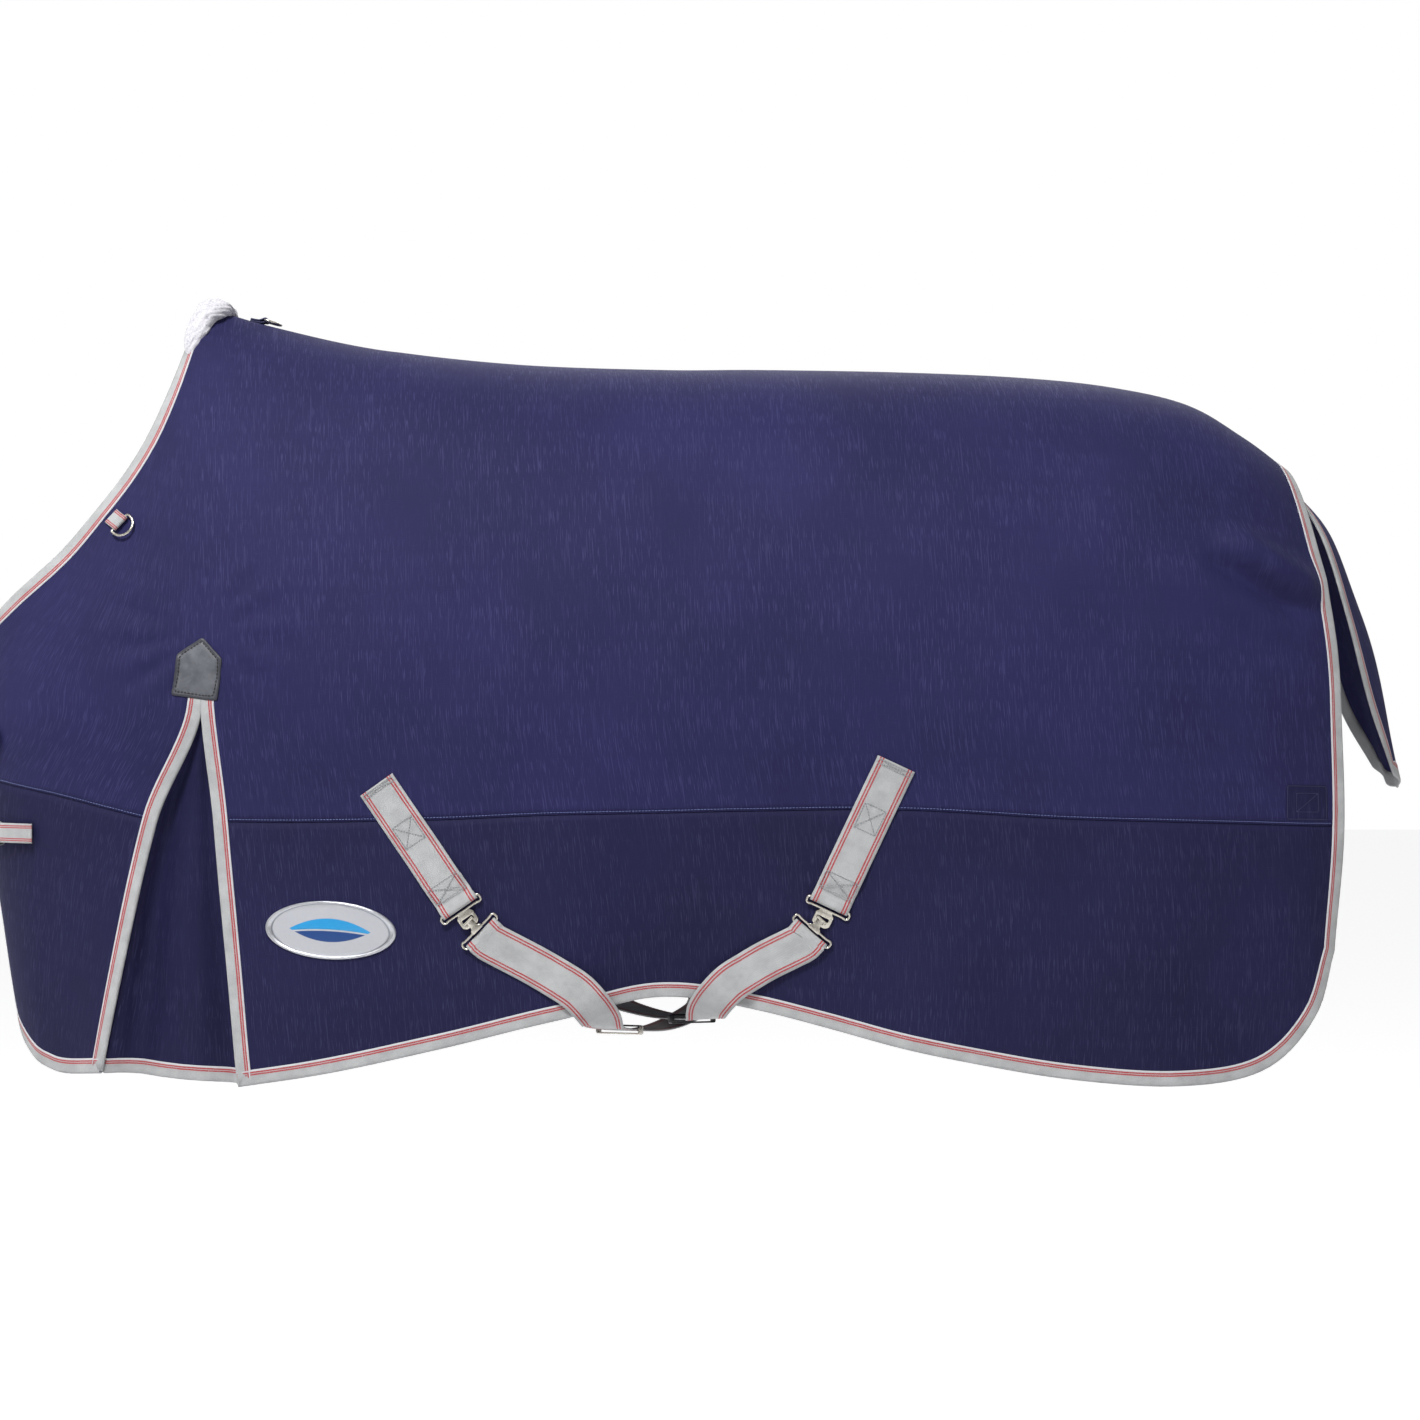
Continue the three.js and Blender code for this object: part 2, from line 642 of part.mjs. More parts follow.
const gussetRows = steps(APEX_ROW, 0, APEX_ROW).map(gussetRow);
const [lowest, next] = gussetRows;
const hemTop = TAPE_WIDTH / lowest[3].distanceTo(next[3]);
const raised = (t) => lowest.map((p, k) => mix(p, next[k], t));
const insert = new Sheet();
insert.grid([raised(hemTop * 1.1), ...gussetRows.slice(1)], [0, 1, 2, 3, 4, 5, 6], "", true);
const drawnIn = (line) => {
  const made = line.slice(1, 6);
  made[0] = plus(made[0], unit(line[1], line[5]), GUSSET_HEM);
  made[4] = plus(made[4], unit(line[5], line[1]), GUSSET_HEM);
  return made;
};
const hemStrip = new Sheet();
hemStrip.grid([drawnIn(lowest), drawnIn(raised(hemTop))], [0, 1, 2, 3, 4], "", true);
for (const [side, turn] of SIDES) {
  add(`shoulder_gusset_${side}`, turn(insert.solid(-SHELL, 0)), NAVY);
  add(`gusset_hem_binding_${side}`, turn(hemStrip.solid(-SHELL - TAPE_PROUD, 0.3)), TAPE);
}

// ---------------------------------------------------------------- patches and badge
const PATCH_CENTRE = at(-632, 0, -384);
const PATCH_HALF = 30;
const HOUSE = [[-PATCH_HALF, -38], [PATCH_HALF, -38], [PATCH_HALF, 14], [0, 38], [-PATCH_HALF, 14]];
const PATCH_TILT = vec(0.12, 0, 1);
const BADGE_CENTRE = at(-467, 0, -707);
const BADGE_SIZE = [83, 36]; // half length, half height
const LEG_PATCH_CENTRE = at(738, 0, -551);
const LEG_PATCH_HALF = [24, 19];
const UP = vec(0, 0, 1);

const patchFrame = frameOnSide(PATCH_CENTRE.x, PATCH_CENTRE.z, PATCH_TILT, 0);
const patchSolid = laid(HOUSE, patchFrame, SHELL_OUTER + PATCH_LIFT, PATCH);
const legFrame = frameOnSide(LEG_PATCH_CENTRE.x, LEG_PATCH_CENTRE.z, UP, 0);
const [legX, legZ] = LEG_PATCH_HALF;
const legPatch = laid(rectangle(-legX, -legZ, legX, legZ), legFrame, SHELL_OUTER + PATCH_LIFT, 1, 2);
for (const [side, turn] of SIDES) {
  add(`shoulder_patch_${side}`, turn(patchSolid), LEATHER);
  add(`leg_ring_patch_${side}`, turn(legPatch), NAVY);
}
const oval = circle(1, 16).map(([x, y]) => [x * BADGE_SIZE[0], y * BADGE_SIZE[1]]);
const badgeFrame = frameOnSide(BADGE_CENTRE.x, BADGE_CENTRE.z, vec(0.04, 0, 1), 0);
add("badge", laid(oval, badgeFrame, SHELL_OUTER + PATCH_LIFT, 1.5, 4), BADGE);

// ---------------------------------------------------------------- rings in webbing tabs
const RING_R = RING_WIRE / 2;
const TAB_HOLE = RING_R + BAR_PLAY;
const TAB_OUT = TAB_HOLE + WEB_LOOP_WALL;
const TAB_LENGTH = 18;
const TAB_LIFT = TAB_OUT + 2.6; // centre of a ring's bar over the cloth

// The straight bar lies on the frame's x axis, and the bow reaches along +y.
function dRing() {
  const half = RING_INNER / 2 + RING_R;
  const straight = 5;
  const centres = [
    ...steps(2, -half, half).map((x) => [x, 0]),
    ...steps(8, 0, Math.PI).map((a) => [half * Math.cos(a), straight + half * Math.sin(a)]),
  ];
  return loft(
    centres.map(([x, y], i) => {
      const before = centres[(i + centres.length - 1) % centres.length];
      const after = centres[(i + 1) % centres.length];
      const inOne = new THREE.Vector2(x - before[0], y - before[1]).normalize();
      const outOne = new THREE.Vector2(after[0] - x, after[1] - y).normalize();
      const heading = inOne.clone().add(outOne).normalize();
      const stretch = 1 / Math.max(heading.dot(inOne), 0.6);
      return circle(RING_R, 8).map(([a, b]) =>
        vec(x + heading.y * a * stretch, y - heading.x * a * stretch, b),
      );
    }),
    { closed: true },
  );
}

// A folded tab: two layers from the fold round the bar back to the sewn end.
function ringTab() {
  const hole = circle(TAB_HOLE, 10);
  const side = [
    [-TAB_LENGTH, -TAB_OUT],
    [0, -TAB_OUT],
    ...[-60, -20, 20, 60].map((a) => {
      const angle = (a * Math.PI) / 180;
      return [TAB_OUT * Math.cos(angle), TAB_OUT * Math.sin(angle)];
    }),
    [0, TAB_OUT],
    [-TAB_LENGTH, -TAB_OUT + WEB * 1.5],
  ];
  return extruded(side, RING_INNER - 4, [hole]).applyMatrix4(
    new THREE.Matrix4().makeBasis(vec(0, 1, 0), vec(0, 0, 1), vec(1, 0, 0)),
  );
}

function ringOn(label, frame, turn = (geometry) => geometry) {
  add(label.replace("*", "ring_tab"), turn(placed(ringTab(), frame)), TAPE);
  add(label.replace("*", "d_ring"), turn(placed(dRing(), frame)), NICKEL);
}

const NECK_RING = at(-738, 0, -205);
const NECK_RING_HEADING = vec(0.74, 0, -0.67);
const neckRingFrame = frameOnSide(NECK_RING.x, NECK_RING.z, NECK_RING_HEADING, SHELL_OUTER + TAB_LIFT);
const LEG_RING = at(738, 0, -560);
const legRingOutside = frameOnSide(LEG_RING.x, LEG_RING.z, vec(0, 0, -1), 0);
const legRingFrame = {
  origin: plus(legRingOutside.origin, legRingOutside.normal, -TAB_LIFT),
  along: legRingOutside.along,
  normal: legRingOutside.normal.clone().negate(),
  across: legRingOutside.across.clone().negate(),
};
for (const [side, turn] of SIDES) {
  ringOn(`neck_*_${side}`, neckRingFrame, turn);
  ringOn(`leg_*_${side}`, legRingFrame, turn);
}
const WITHER_RING = at(-580, 0, 0);
const overWithers = struck(vec(WITHER_RING.x, 0, 2000), vec(0, 0, -1));
const witherAlong = vec(0, 1, 0).cross(overWithers.normal).normalize();
const witherRingFrame = {
  origin: plus(overWithers.point, overWithers.normal, SHELL_OUTER + TAB_LIFT),
  along: witherAlong,
  normal: overWithers.normal,
  across: witherAlong.clone().cross(overWithers.normal),
};
ringOn("wither_*", witherRingFrame);

// ---------------------------------------------------------------- fleece over the withers
const PAD_REACH = 26; // how far the fleece lies back over the cloth
const PAD_FRONT = 10; // and how far it stands in front of the neck edge
const PAD_PILE = 8;
const PAD_CLEAR = 9;
const PAD_COLUMNS = 3; // columns of the neck edge it covers, each side
const padLine = cloth.insetPoints(PAD_REACH);

function fleecePad() {
  const half = neckLeft.slice(-PAD_COLUMNS);
  const chain = [...half, ...half.map(mirrored).reverse()];
  const [under, over] = [TAPE_INNER - PAD_CLEAR, TAPE_OUTER + PAD_CLEAR];
  const section = [
    [-PAD_FRONT, under - PAD_PILE / 2],
    [PAD_REACH, under - PAD_PILE / 2],
    [PAD_REACH, under],
    [-PAD_CLEAR, under],
    [-PAD_CLEAR, over],
    [PAD_REACH, over],
    [PAD_REACH, over + PAD_PILE],
    [-PAD_FRONT, over + PAD_PILE],
  ];
  return loft(
    chain.map((p) => {
      const key = cloth.point(p);
      const back = padLine[key].clone().sub(p).divideScalar(PAD_REACH);
      return section.map(([a, h]) => plus(plus(p, back, a), clothNormals[key], h));
    }),
  );
}

add("wither_fleece_pad", fleecePad(), FLEECE);

// ---------------------------------------------------------------- tail flap
const FLAP_TOP = at(752, 0, -146);
const FLAP_LINE = [[0, 0], [52, -70], [92, -170], [122, -285], [140, -390]];
const FLAP_HALF_WIDTHS = [62, 108, 122, 112, 66];
const FLAP_WRAP = [10, 26, 36, 34, 16]; // how far the side edges curl forward
const FLAP_INSET = TAPE_WIDTH + TAPE_GAP;

function flapSheet() {
  const rail = (values) => new THREE.CatmullRomCurve3(values, false, "catmullrom", 0.5);
  const centre = rail(FLAP_LINE.map(([x, z]) => at(x, 0, z).add(FLAP_TOP)));
  const edge = rail(
    FLAP_LINE.map(([x, z], k) =>
      at(x - FLAP_WRAP[k], FLAP_HALF_WIDTHS[k], z + (k === 4 ? 26 : 0)).add(FLAP_TOP),
    ),
  );
  const rows = steps(8).map((t) => {
    const [c, e] = [centre.getPoint(t), edge.getPoint(t)];
    return steps(6, -1, 1).map((s) =>
      vec(c.x + (e.x - c.x) * s * s, e.y * s, c.z + (e.z - c.z) * s * s),
    );
  });
  const sheet = new Sheet();
  sheet.grid(rows, [0, 1, 2, 3, 4, 5, 6], "", true);
  return { sheet, rows };
}

const { sheet: flap, rows: flapRows } = flapSheet();
const flapInset = flap.insetPoints(FLAP_INSET);
const flapTape = flap.insetPoints(TAPE_WIDTH);
// The top edge is sewn, not bound: there the insets only close in from the sides.
for (const [places, distance] of [[flapInset, FLAP_INSET], [flapTape, TAPE_WIDTH]]) {
  const line = flapRows[0];
  line.forEach((p, k) => {
    const towards = k === 0 ? line[1] : line[5];
    const move = k % 6 === 0 ? distance : 0;
    places[flap.point(p)] = plus(p, unit(p, towards), move);
  });
}
add("tail_flap", flap.part(() => true, flapInset).solid(0, SHELL), NAVY);
const flapLast = flapRows.length - 1;
const flapEdge = [
  ...flapRows.map((line) => line[0]),
  ...flapRows[flapLast].slice(1, 6),
  ...flapRows.map((line) => line[6]).reverse(),
];
const flapStrip = new Sheet();
flapEdge.slice(0, -1).forEach((p, k) => {
  const [a, b] = [flap.point(p), flap.point(flapEdge[k + 1])];
  flapStrip.quad(flap.points[a], flap.points[b], flapTape[b], flapTape[a]);
});
const flapFacesOut = flapStrip.normals()[0].x > 0 || flapStrip.normals()[4].x > 0;
const flapBinding = flapFacesOut
  ? flapStrip.solid(-TAPE_PROUD, SHELL + TAPE_PROUD)
  : turned(flapStrip.solid(-SHELL - TAPE_PROUD, TAPE_PROUD));
add("tail_flap_binding", flapBinding, TAPE);

// ---------------------------------------------------------------- surcingle hardware
const FRONT_CHAPE = { top: at(-408, 0, -527), foot: at(-306, 0, -676) };
const REAR_CHAPE = { top: at(227, 0, -501), foot: at(146, 0, -673) };
const PLATE_LIFT = 9.4; // centre of a hook bar over the cloth
const WEB_LIFT = 6.8; // centre of webbing sewn flat
const STRAP_LIFT = 8.2; // centre of a belly strap on the side
const SLOT_HALF = WEB_WIDTH / 2 + 1.5;
const PLATE_HALF = SLOT_HALF + 3.5;
const SLOT = 5;
const SLOT_PLATE_REACH = 21; // bar to the middle of the keyhole
const T_REACH = 22; // bar to the middle of the T
const LOOP_HOLE = (BAR / 2) * Math.SQRT2 + BAR_PLAY;
const LOOP_OUT = LOOP_HOLE + WEB_LOOP_WALL;
const NECK = 4;

function plateRing() {
  const outline = roundedRectangle(-PLATE_HALF, -BAR / 2, PLATE_HALF, BAR / 2 + SLOT + 2.5, 3);
  const slot = roundedRectangle(-SLOT_HALF, BAR / 2, SLOT_HALF, BAR / 2 + SLOT, 1);
  return extruded(outline, BAR, [slot]);
}

// The sewn-on half: a webbing slot and a keyhole for the T.
function slotPlate() {
  const [near, far] = [BAR / 2 + SLOT + 2, SLOT_PLATE_REACH + 8];
  const outline = roundedRectangle(-11, near, 11, far, 3);
  const hole = roundedRectangle(-7.5, SLOT_PLATE_REACH - 4.5, 7.5, SLOT_PLATE_REACH + 5, 2);
  return joined(plateRing(), extruded(outline, BAR, [hole]));
}

// The strap half: a webbing slot, a post, and an arm that ends in the T, over the keyhole.
function tHook() {
  const post = BAR / 2 + SLOT;
  const side = [[post, -BAR / 2], [post + 2.5, -BAR / 2], [post + 2.5, 3.2], [T_REACH + 2, 3.2],
    [T_REACH + 2, 6], [post, 6]];
  const arm = extruded(side, 2 * NECK).applyMatrix4(
    new THREE.Matrix4().makeBasis(vec(0, 1, 0), vec(0, 0, 1), vec(1, 0, 0)),
  );
  const bar = extruded(roundedRectangle(-7, T_REACH - 2, 7, T_REACH + 2, 1.2), 2.8);
  return joined(plateRing(), arm, bar.translate(0, 0, 4.6));
}

// Webbing that ends in a fold round the bar on the frame's x axis.
function fold(frame, width) {
  const ring = extruded(circle(LOOP_OUT, 10), width, [circle(LOOP_HOLE, 10)]).applyMatrix4(
    new THREE.Matrix4().makeBasis(vec(0, 1, 0), vec(0, 0, 1), vec(1, 0, 0)),
  );
  return placed(ring, frame);
}

const heading = (from, to) => vec(to.x - from.x, 0, to.z - from.z).normalize();

// A length of webbing lying on the left side between two points, with its lift at each.
function lying(from, to, lifts, count, first = heading(from, to)) {
  const along = (t) => mix(first, heading(from, to), Math.min(1, 2 * t));
  return steps(count).map((t) => {
    const p = mix(from, to, t);
    const frame = frameOnSide(p.x, p.z, along(t), lifts[0] + (lifts[1] - lifts[0]) * t);
    return { centre: frame.origin, across: frame.across, normal: frame.normal };
  });
}

function chapeStations({ top, foot }, frame) {
  const run = lying(top, foot, [WEB_LIFT, STRAP_LIFT], 5).slice(0, -1);
  const end = plus(frame.origin, frame.along, -LOOP_HOLE - 0.8);
  return [...run, { centre: plus(end, frame.normal, -0.8), across: frame.across, normal: frame.normal }];
}

const chapes = {};
for (const [name, chape] of [["front", FRONT_CHAPE], ["rear", REAR_CHAPE]]) {
  const along = heading(chape.top, chape.foot);
  const frame = frameOnSide(chape.foot.x, chape.foot.z, along, PLATE_LIFT);
  chapes[name] = { ...chape, along, frame };
  const web = ribbon(chapeStations(chape, frame), WEB_WIDTH, WEB);
  add(`surcingle_chape_${name}`, joined(web, fold(frame, WEB_WIDTH)), TAPE);
  add(`surcingle_slot_plate_${name}`, placed(slotPlate(), frame), NICKEL);
}

// ---------------------------------------------------------------- belly straps
// Each runs from a T-hook on the left, over the hem, under the belly and up to the other
// side's opposite anchor, so the two cross under the middle. On the right they turn about one
// line under the hem when they are let down.
const TURNS = { front: at(-160, 0, -822), rear: at(23, 0, -812) }; // where they go under the hem
const OVER_HEM = 10; // clearance outside the hem
const ABOVE_TURN = 42; // the last point on the side, over the turn

function overHem(name) {
  const { x, z } = TURNS[name];
  const { point } = onSide(x, z + ABOVE_TURN, OVER_HEM);
  return point.setZ(z);
}

const hemTurns = { front: overHem("front"), rear: overHem("rear") };
const PIVOT = {
  y: Math.max(-hemTurns.front.y, -hemTurns.rear.y) + 1,
  z: Math.min(hemTurns.front.z, hemTurns.rear.z) - 3,
};

function strapParts(name, farName, drop) {
  const chape = chapes[name];
  const turn = hemTurns[name];
  const aim = plus(TURNS[name], UP, ABOVE_TURN);
  const reachPoint = plus(chape.foot, chape.along, SLOT_PLATE_REACH);
  const away = mix(chape.along, heading(reachPoint, aim), 0.5).normalize();
  const hookPoint = plus(reachPoint, away, T_REACH);
  const hookFrame = frameOnSide(hookPoint.x, hookPoint.z, away.clone().negate(), PLATE_LIFT);
  const far = vec(hemTurns[farName].x, PIVOT.y, PIVOT.z);
  const start = plus(hookPoint, away, LOOP_HOLE + 0.8);
  const run = lying(start, aim, [STRAP_LIFT, OVER_HEM], 4, away);
  const belly = steps(12, 0, 0.99).map((t) => {
    const sag = STRAP_DROP_SAG * 4 * t * (1 - t) + drop * Math.sin(Math.PI * t) ** 2;
    const p = mix(turn, far, t);
    return plus(p, vec(0, 0, -sag));
  });
  const under = belly.map((centre, k) => {
    const before = belly[Math.max(k - 1, 0)];
    const after = belly[Math.min(k + 1, belly.length - 1)];
    const along = unit(before, after);
    const across = vec(-along.y, along.x, 0).normalize();
    return { centre, across, normal: across.clone().cross(along).normalize() };
  });
  const stations = [...run, ...under];
  return { hookFrame, stations, under };
}

// A slider: a frame round the strap with a bar across its outer face.
function slider() {
  const [wide, tall] = [WEB_WIDTH / 2 + 1.5, WEB / 2 + 3];
  const outline = roundedRectangle(-wide - 3, -tall - 2, wide + 3, tall + 2, 2);
  const hole = rectangle(-wide, -tall, wide, tall);
  return extruded(outline, 14, [hole]).applyMatrix4(
    new THREE.Matrix4().makeBasis(vec(1, 0, 0), vec(0, 0, 1), vec(0, -1, 0)),
  );
}

const SLIDER_STATION = { front: 3, rear: 3 };
for (const [name, farName, drop, finish] of [
  ["front", "rear", STRAP_CROSSING, NICKEL],
  ["rear", "front", 0, BLACKED],
]) {
  const { hookFrame, stations, under } = strapParts(name, farName, drop);
  const web = ribbon(stations, WEB_WIDTH, WEB);
  add(`belly_strap_${name}`, joined(web, fold(hookFrame, WEB_WIDTH)), TAPE);
  add(`surcingle_t_hook_${name}`, placed(tHook(), hookFrame), NICKEL);
  const k = SLIDER_STATION[name];
  const { centre, across, normal } = under[k];
  const along = unit(under[k - 1].centre, under[k + 1].centre);
  const square = across.clone().addScaledVector(along, -across.dot(along)).normalize();
  const up = square.clone().cross(along).normalize();
  add(`belly_strap_slider_${name}`, placed(slider(), { origin: centre, across: square, along, normal: up }), finish);
  // The sewn end on the right side stands over the far turn.
  const farChape = chapes[farName];
  const foot = TURNS[farName];
  const high = lying(farChape.top, farChape.foot, [WEB_LIFT, STRAP_LIFT], 5);
  const low = lying(farChape.foot, plus(foot, UP, ABOVE_TURN), [STRAP_LIFT, OVER_HEM], 4).slice(1);
  const anchor = inMirror(ribbon([...high, ...low], WEB_WIDTH, WEB));
  add(`belly_strap_anchor_${farName}`, anchor, TAPE);
}

// ---------------------------------------------------------------- chest straps
// Sewn to the right front, they cross the gap and pass through a buckle on the left front:
// under its toe bar, over its heel bar, then back along the left side through a keeper.
const CHEST_AXIS = at(-760, 0, 0); // rays at the chest meet on this upright line
const CHEST_LEVELS = { upper: at(0, 0, -474).z, lower: at(0, 0, -592).z };
const CHEST_SEWN = -120; // distances round the chest, from the middle towards the left
const CHEST_TIPS = { upper: 152, lower: 170 };
const HEEL = 64;
const CHAPE_SEWN = HEEL + 72;
const KEEPER = HEEL + 36;
const TOE = 24; // heel bar to toe bar
const BUCKLE_LIFT = 9;
const CHAPE_LIFT = 7;
const BILLET_LIFT = 10;
const OVER_EDGES = 3.5; // extra lift over the two front edges

function onChest(angle, z) {
  const cast = (turn, dz) => {
    const out = vec(-Math.cos(turn), -Math.sin(turn), 0);
    return struck(vec(CHEST_AXIS.x, 0, z + dz).addScaledVector(out, 2000), out.negate());
  };
  const normal = vec(0, 0, 0);
  [[0, 0], [0.05, 0], [-0.05, 0], [0, 12], [0, -12]].forEach(([turn, dz]) => {
    normal.add(cast(angle + turn, dz).normal);
  });
  return { point: cast(angle, 0).point, normal: normal.normalize() };
}

// The level line round the chest, as a frame for any distance along it and any lift.
function chestLine(z) {
  const angles = steps(24, 0.1, 1.25);
  const spots = [...angles.map((a) => -a).reverse(), ...angles].map((a) => onChest(a, z));
  const lengths = [0];
  spots.slice(1).forEach(({ point }, k) => lengths.push(lengths[k] + point.distanceTo(spots[k].point)));
  const middle = lengths[lengths.length - 1] / 2;
  return (distance, lift) => {
    const length = distance + middle;
    const k = lengths.findIndex((one) => one > length) - 1;
    const t = (length - lengths[k]) / (lengths[k + 1] - lengths[k]);
    const normal = mix(spots[k].normal, spots[k + 1].normal, t).normalize();
    const origin = plus(mix(spots[k].point, spots[k + 1].point, t), normal, lift);
    const forward = unit(spots[k + 1].point, spots[k].point);
    const along = forward.addScaledVector(normal, -forward.dot(normal)).normalize();
    return { origin, along, normal, across: along.clone().cross(normal) };
  };
}

const sideways = new THREE.Matrix4().makeBasis(vec(0, 1, 0), vec(0, 0, 1), vec(1, 0, 0));
const endOn = new THREE.Matrix4().makeBasis(vec(1, 0, 0), vec(0, 0, 1), vec(0, -1, 0));
const station = ({ origin, across, normal }) => ({ centre: origin, across, normal });

function carved(geometry, tool) {
  return asGeometry(asSolid(geometry).subtract(asSolid(tool)));
}

function buckleFrame() {
  const half = BILLET_WIDTH / 2 + 1.5;
  const outline = roundedRectangle(-half - BAR, -BAR / 2, half + BAR, TOE + BAR / 2, 3);
  return extruded(outline, BAR, [roundedRectangle(-half, BAR / 2, half, TOE - BAR / 2, 1)]);
}

function buckleProng() {
  const barrel = extruded(circle(3.8, 10), 5, [circle(2.75, 10)]).applyMatrix4(sideways);
  const side = [[2.9, 0.4], [TOE - 2, 1.8], [TOE + 3, 1.8], [TOE + 3, 4.2], [TOE - 2.5, 4.2], [1.5, 3.3]];
  return joined(barrel, extruded(side, 3.6).applyMatrix4(sideways));
}

// Where the billet runs in the buckle: distance from the heel bar towards the toe, and height.
const BILLET_IN_BUCKLE = [[32, -2.8], [24, -3.1], [17, -1.6], [9, 3.4], [3, 5.9], [-3, 5.9], [-10, 4.4]];

function keeper() {
  const half = BILLET_WIDTH / 2;
  const outline = rectangle(-half - 2.6, 4.2, half + 2.6, 12.6);
  return extruded(outline, 10, [rectangle(-half - 1.1, 5.4, half + 1.1, 11.4)]).applyMatrix4(endOn);
}

for (const [name, z] of Object.entries(CHEST_LEVELS)) {
  const line = chestLine(z);
  const middle = line(HEEL - TOE / 2, BUCKLE_LIFT);
  const frame = { ...middle, origin: plus(middle.origin, middle.along, -TOE / 2) };
  const inFrame = ([y, h]) =>
    station({ ...frame, origin: plus(plus(frame.origin, frame.along, y), frame.normal, h) });
  const sewn = steps(4, CHEST_SEWN, -46).map((d) => station(line(d, WEB_LIFT)));
  sewn.push(...[-24, 19].map((d) => station(line(d, WEB_LIFT + OVER_EDGES))));
  const back = steps(5, HEEL + 22, CHEST_TIPS[name]).map((d) => station(line(d, BILLET_LIFT)));
  const billet = ribbon([...sewn, ...BILLET_IN_BUCKLE.map(inFrame), ...back], BILLET_WIDTH, WEB);
  const hole = placed(extruded(rectangle(-2.7, 1.4, 2.7, 20.5), 16), frame);
  add(`chest_strap_${name}`, carved(billet, hole), TAPE);

  const flat = steps(4, CHAPE_SEWN, HEEL + 14).map((d) => station(line(d, CHAPE_LIFT)));
  const web = ribbon([...flat, inFrame([-LOOP_HOLE - 0.8, -1])], BILLET_WIDTH, WEB);
  const notch = placed(extruded(rectangle(-3, -7, 3, 6), 12), frame);
  const chapeSolid = carved(joined(web, fold(frame, BILLET_WIDTH)), notch);
  add(`chest_chape_${name}`, chapeSolid, TAPE);
  add(`chest_buckle_${name}`, placed(buckleFrame(), frame), NICKEL);
  add(`chest_buckle_prong_${name}`, placed(buckleProng(), frame), NICKEL);
  add(`chest_keeper_${name}`, placed(keeper(), line(KEEPER, 0)), TAPE);
}

export default rug;
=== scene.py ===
"""Turnout rug: its cloth, tape, webbing and fittings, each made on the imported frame.

Laid out as an add-on and run as a script. The tables hold millimetres, all else is metres.
The head end is at -X, the horse's left side at -Y, and +Z is up.
"""

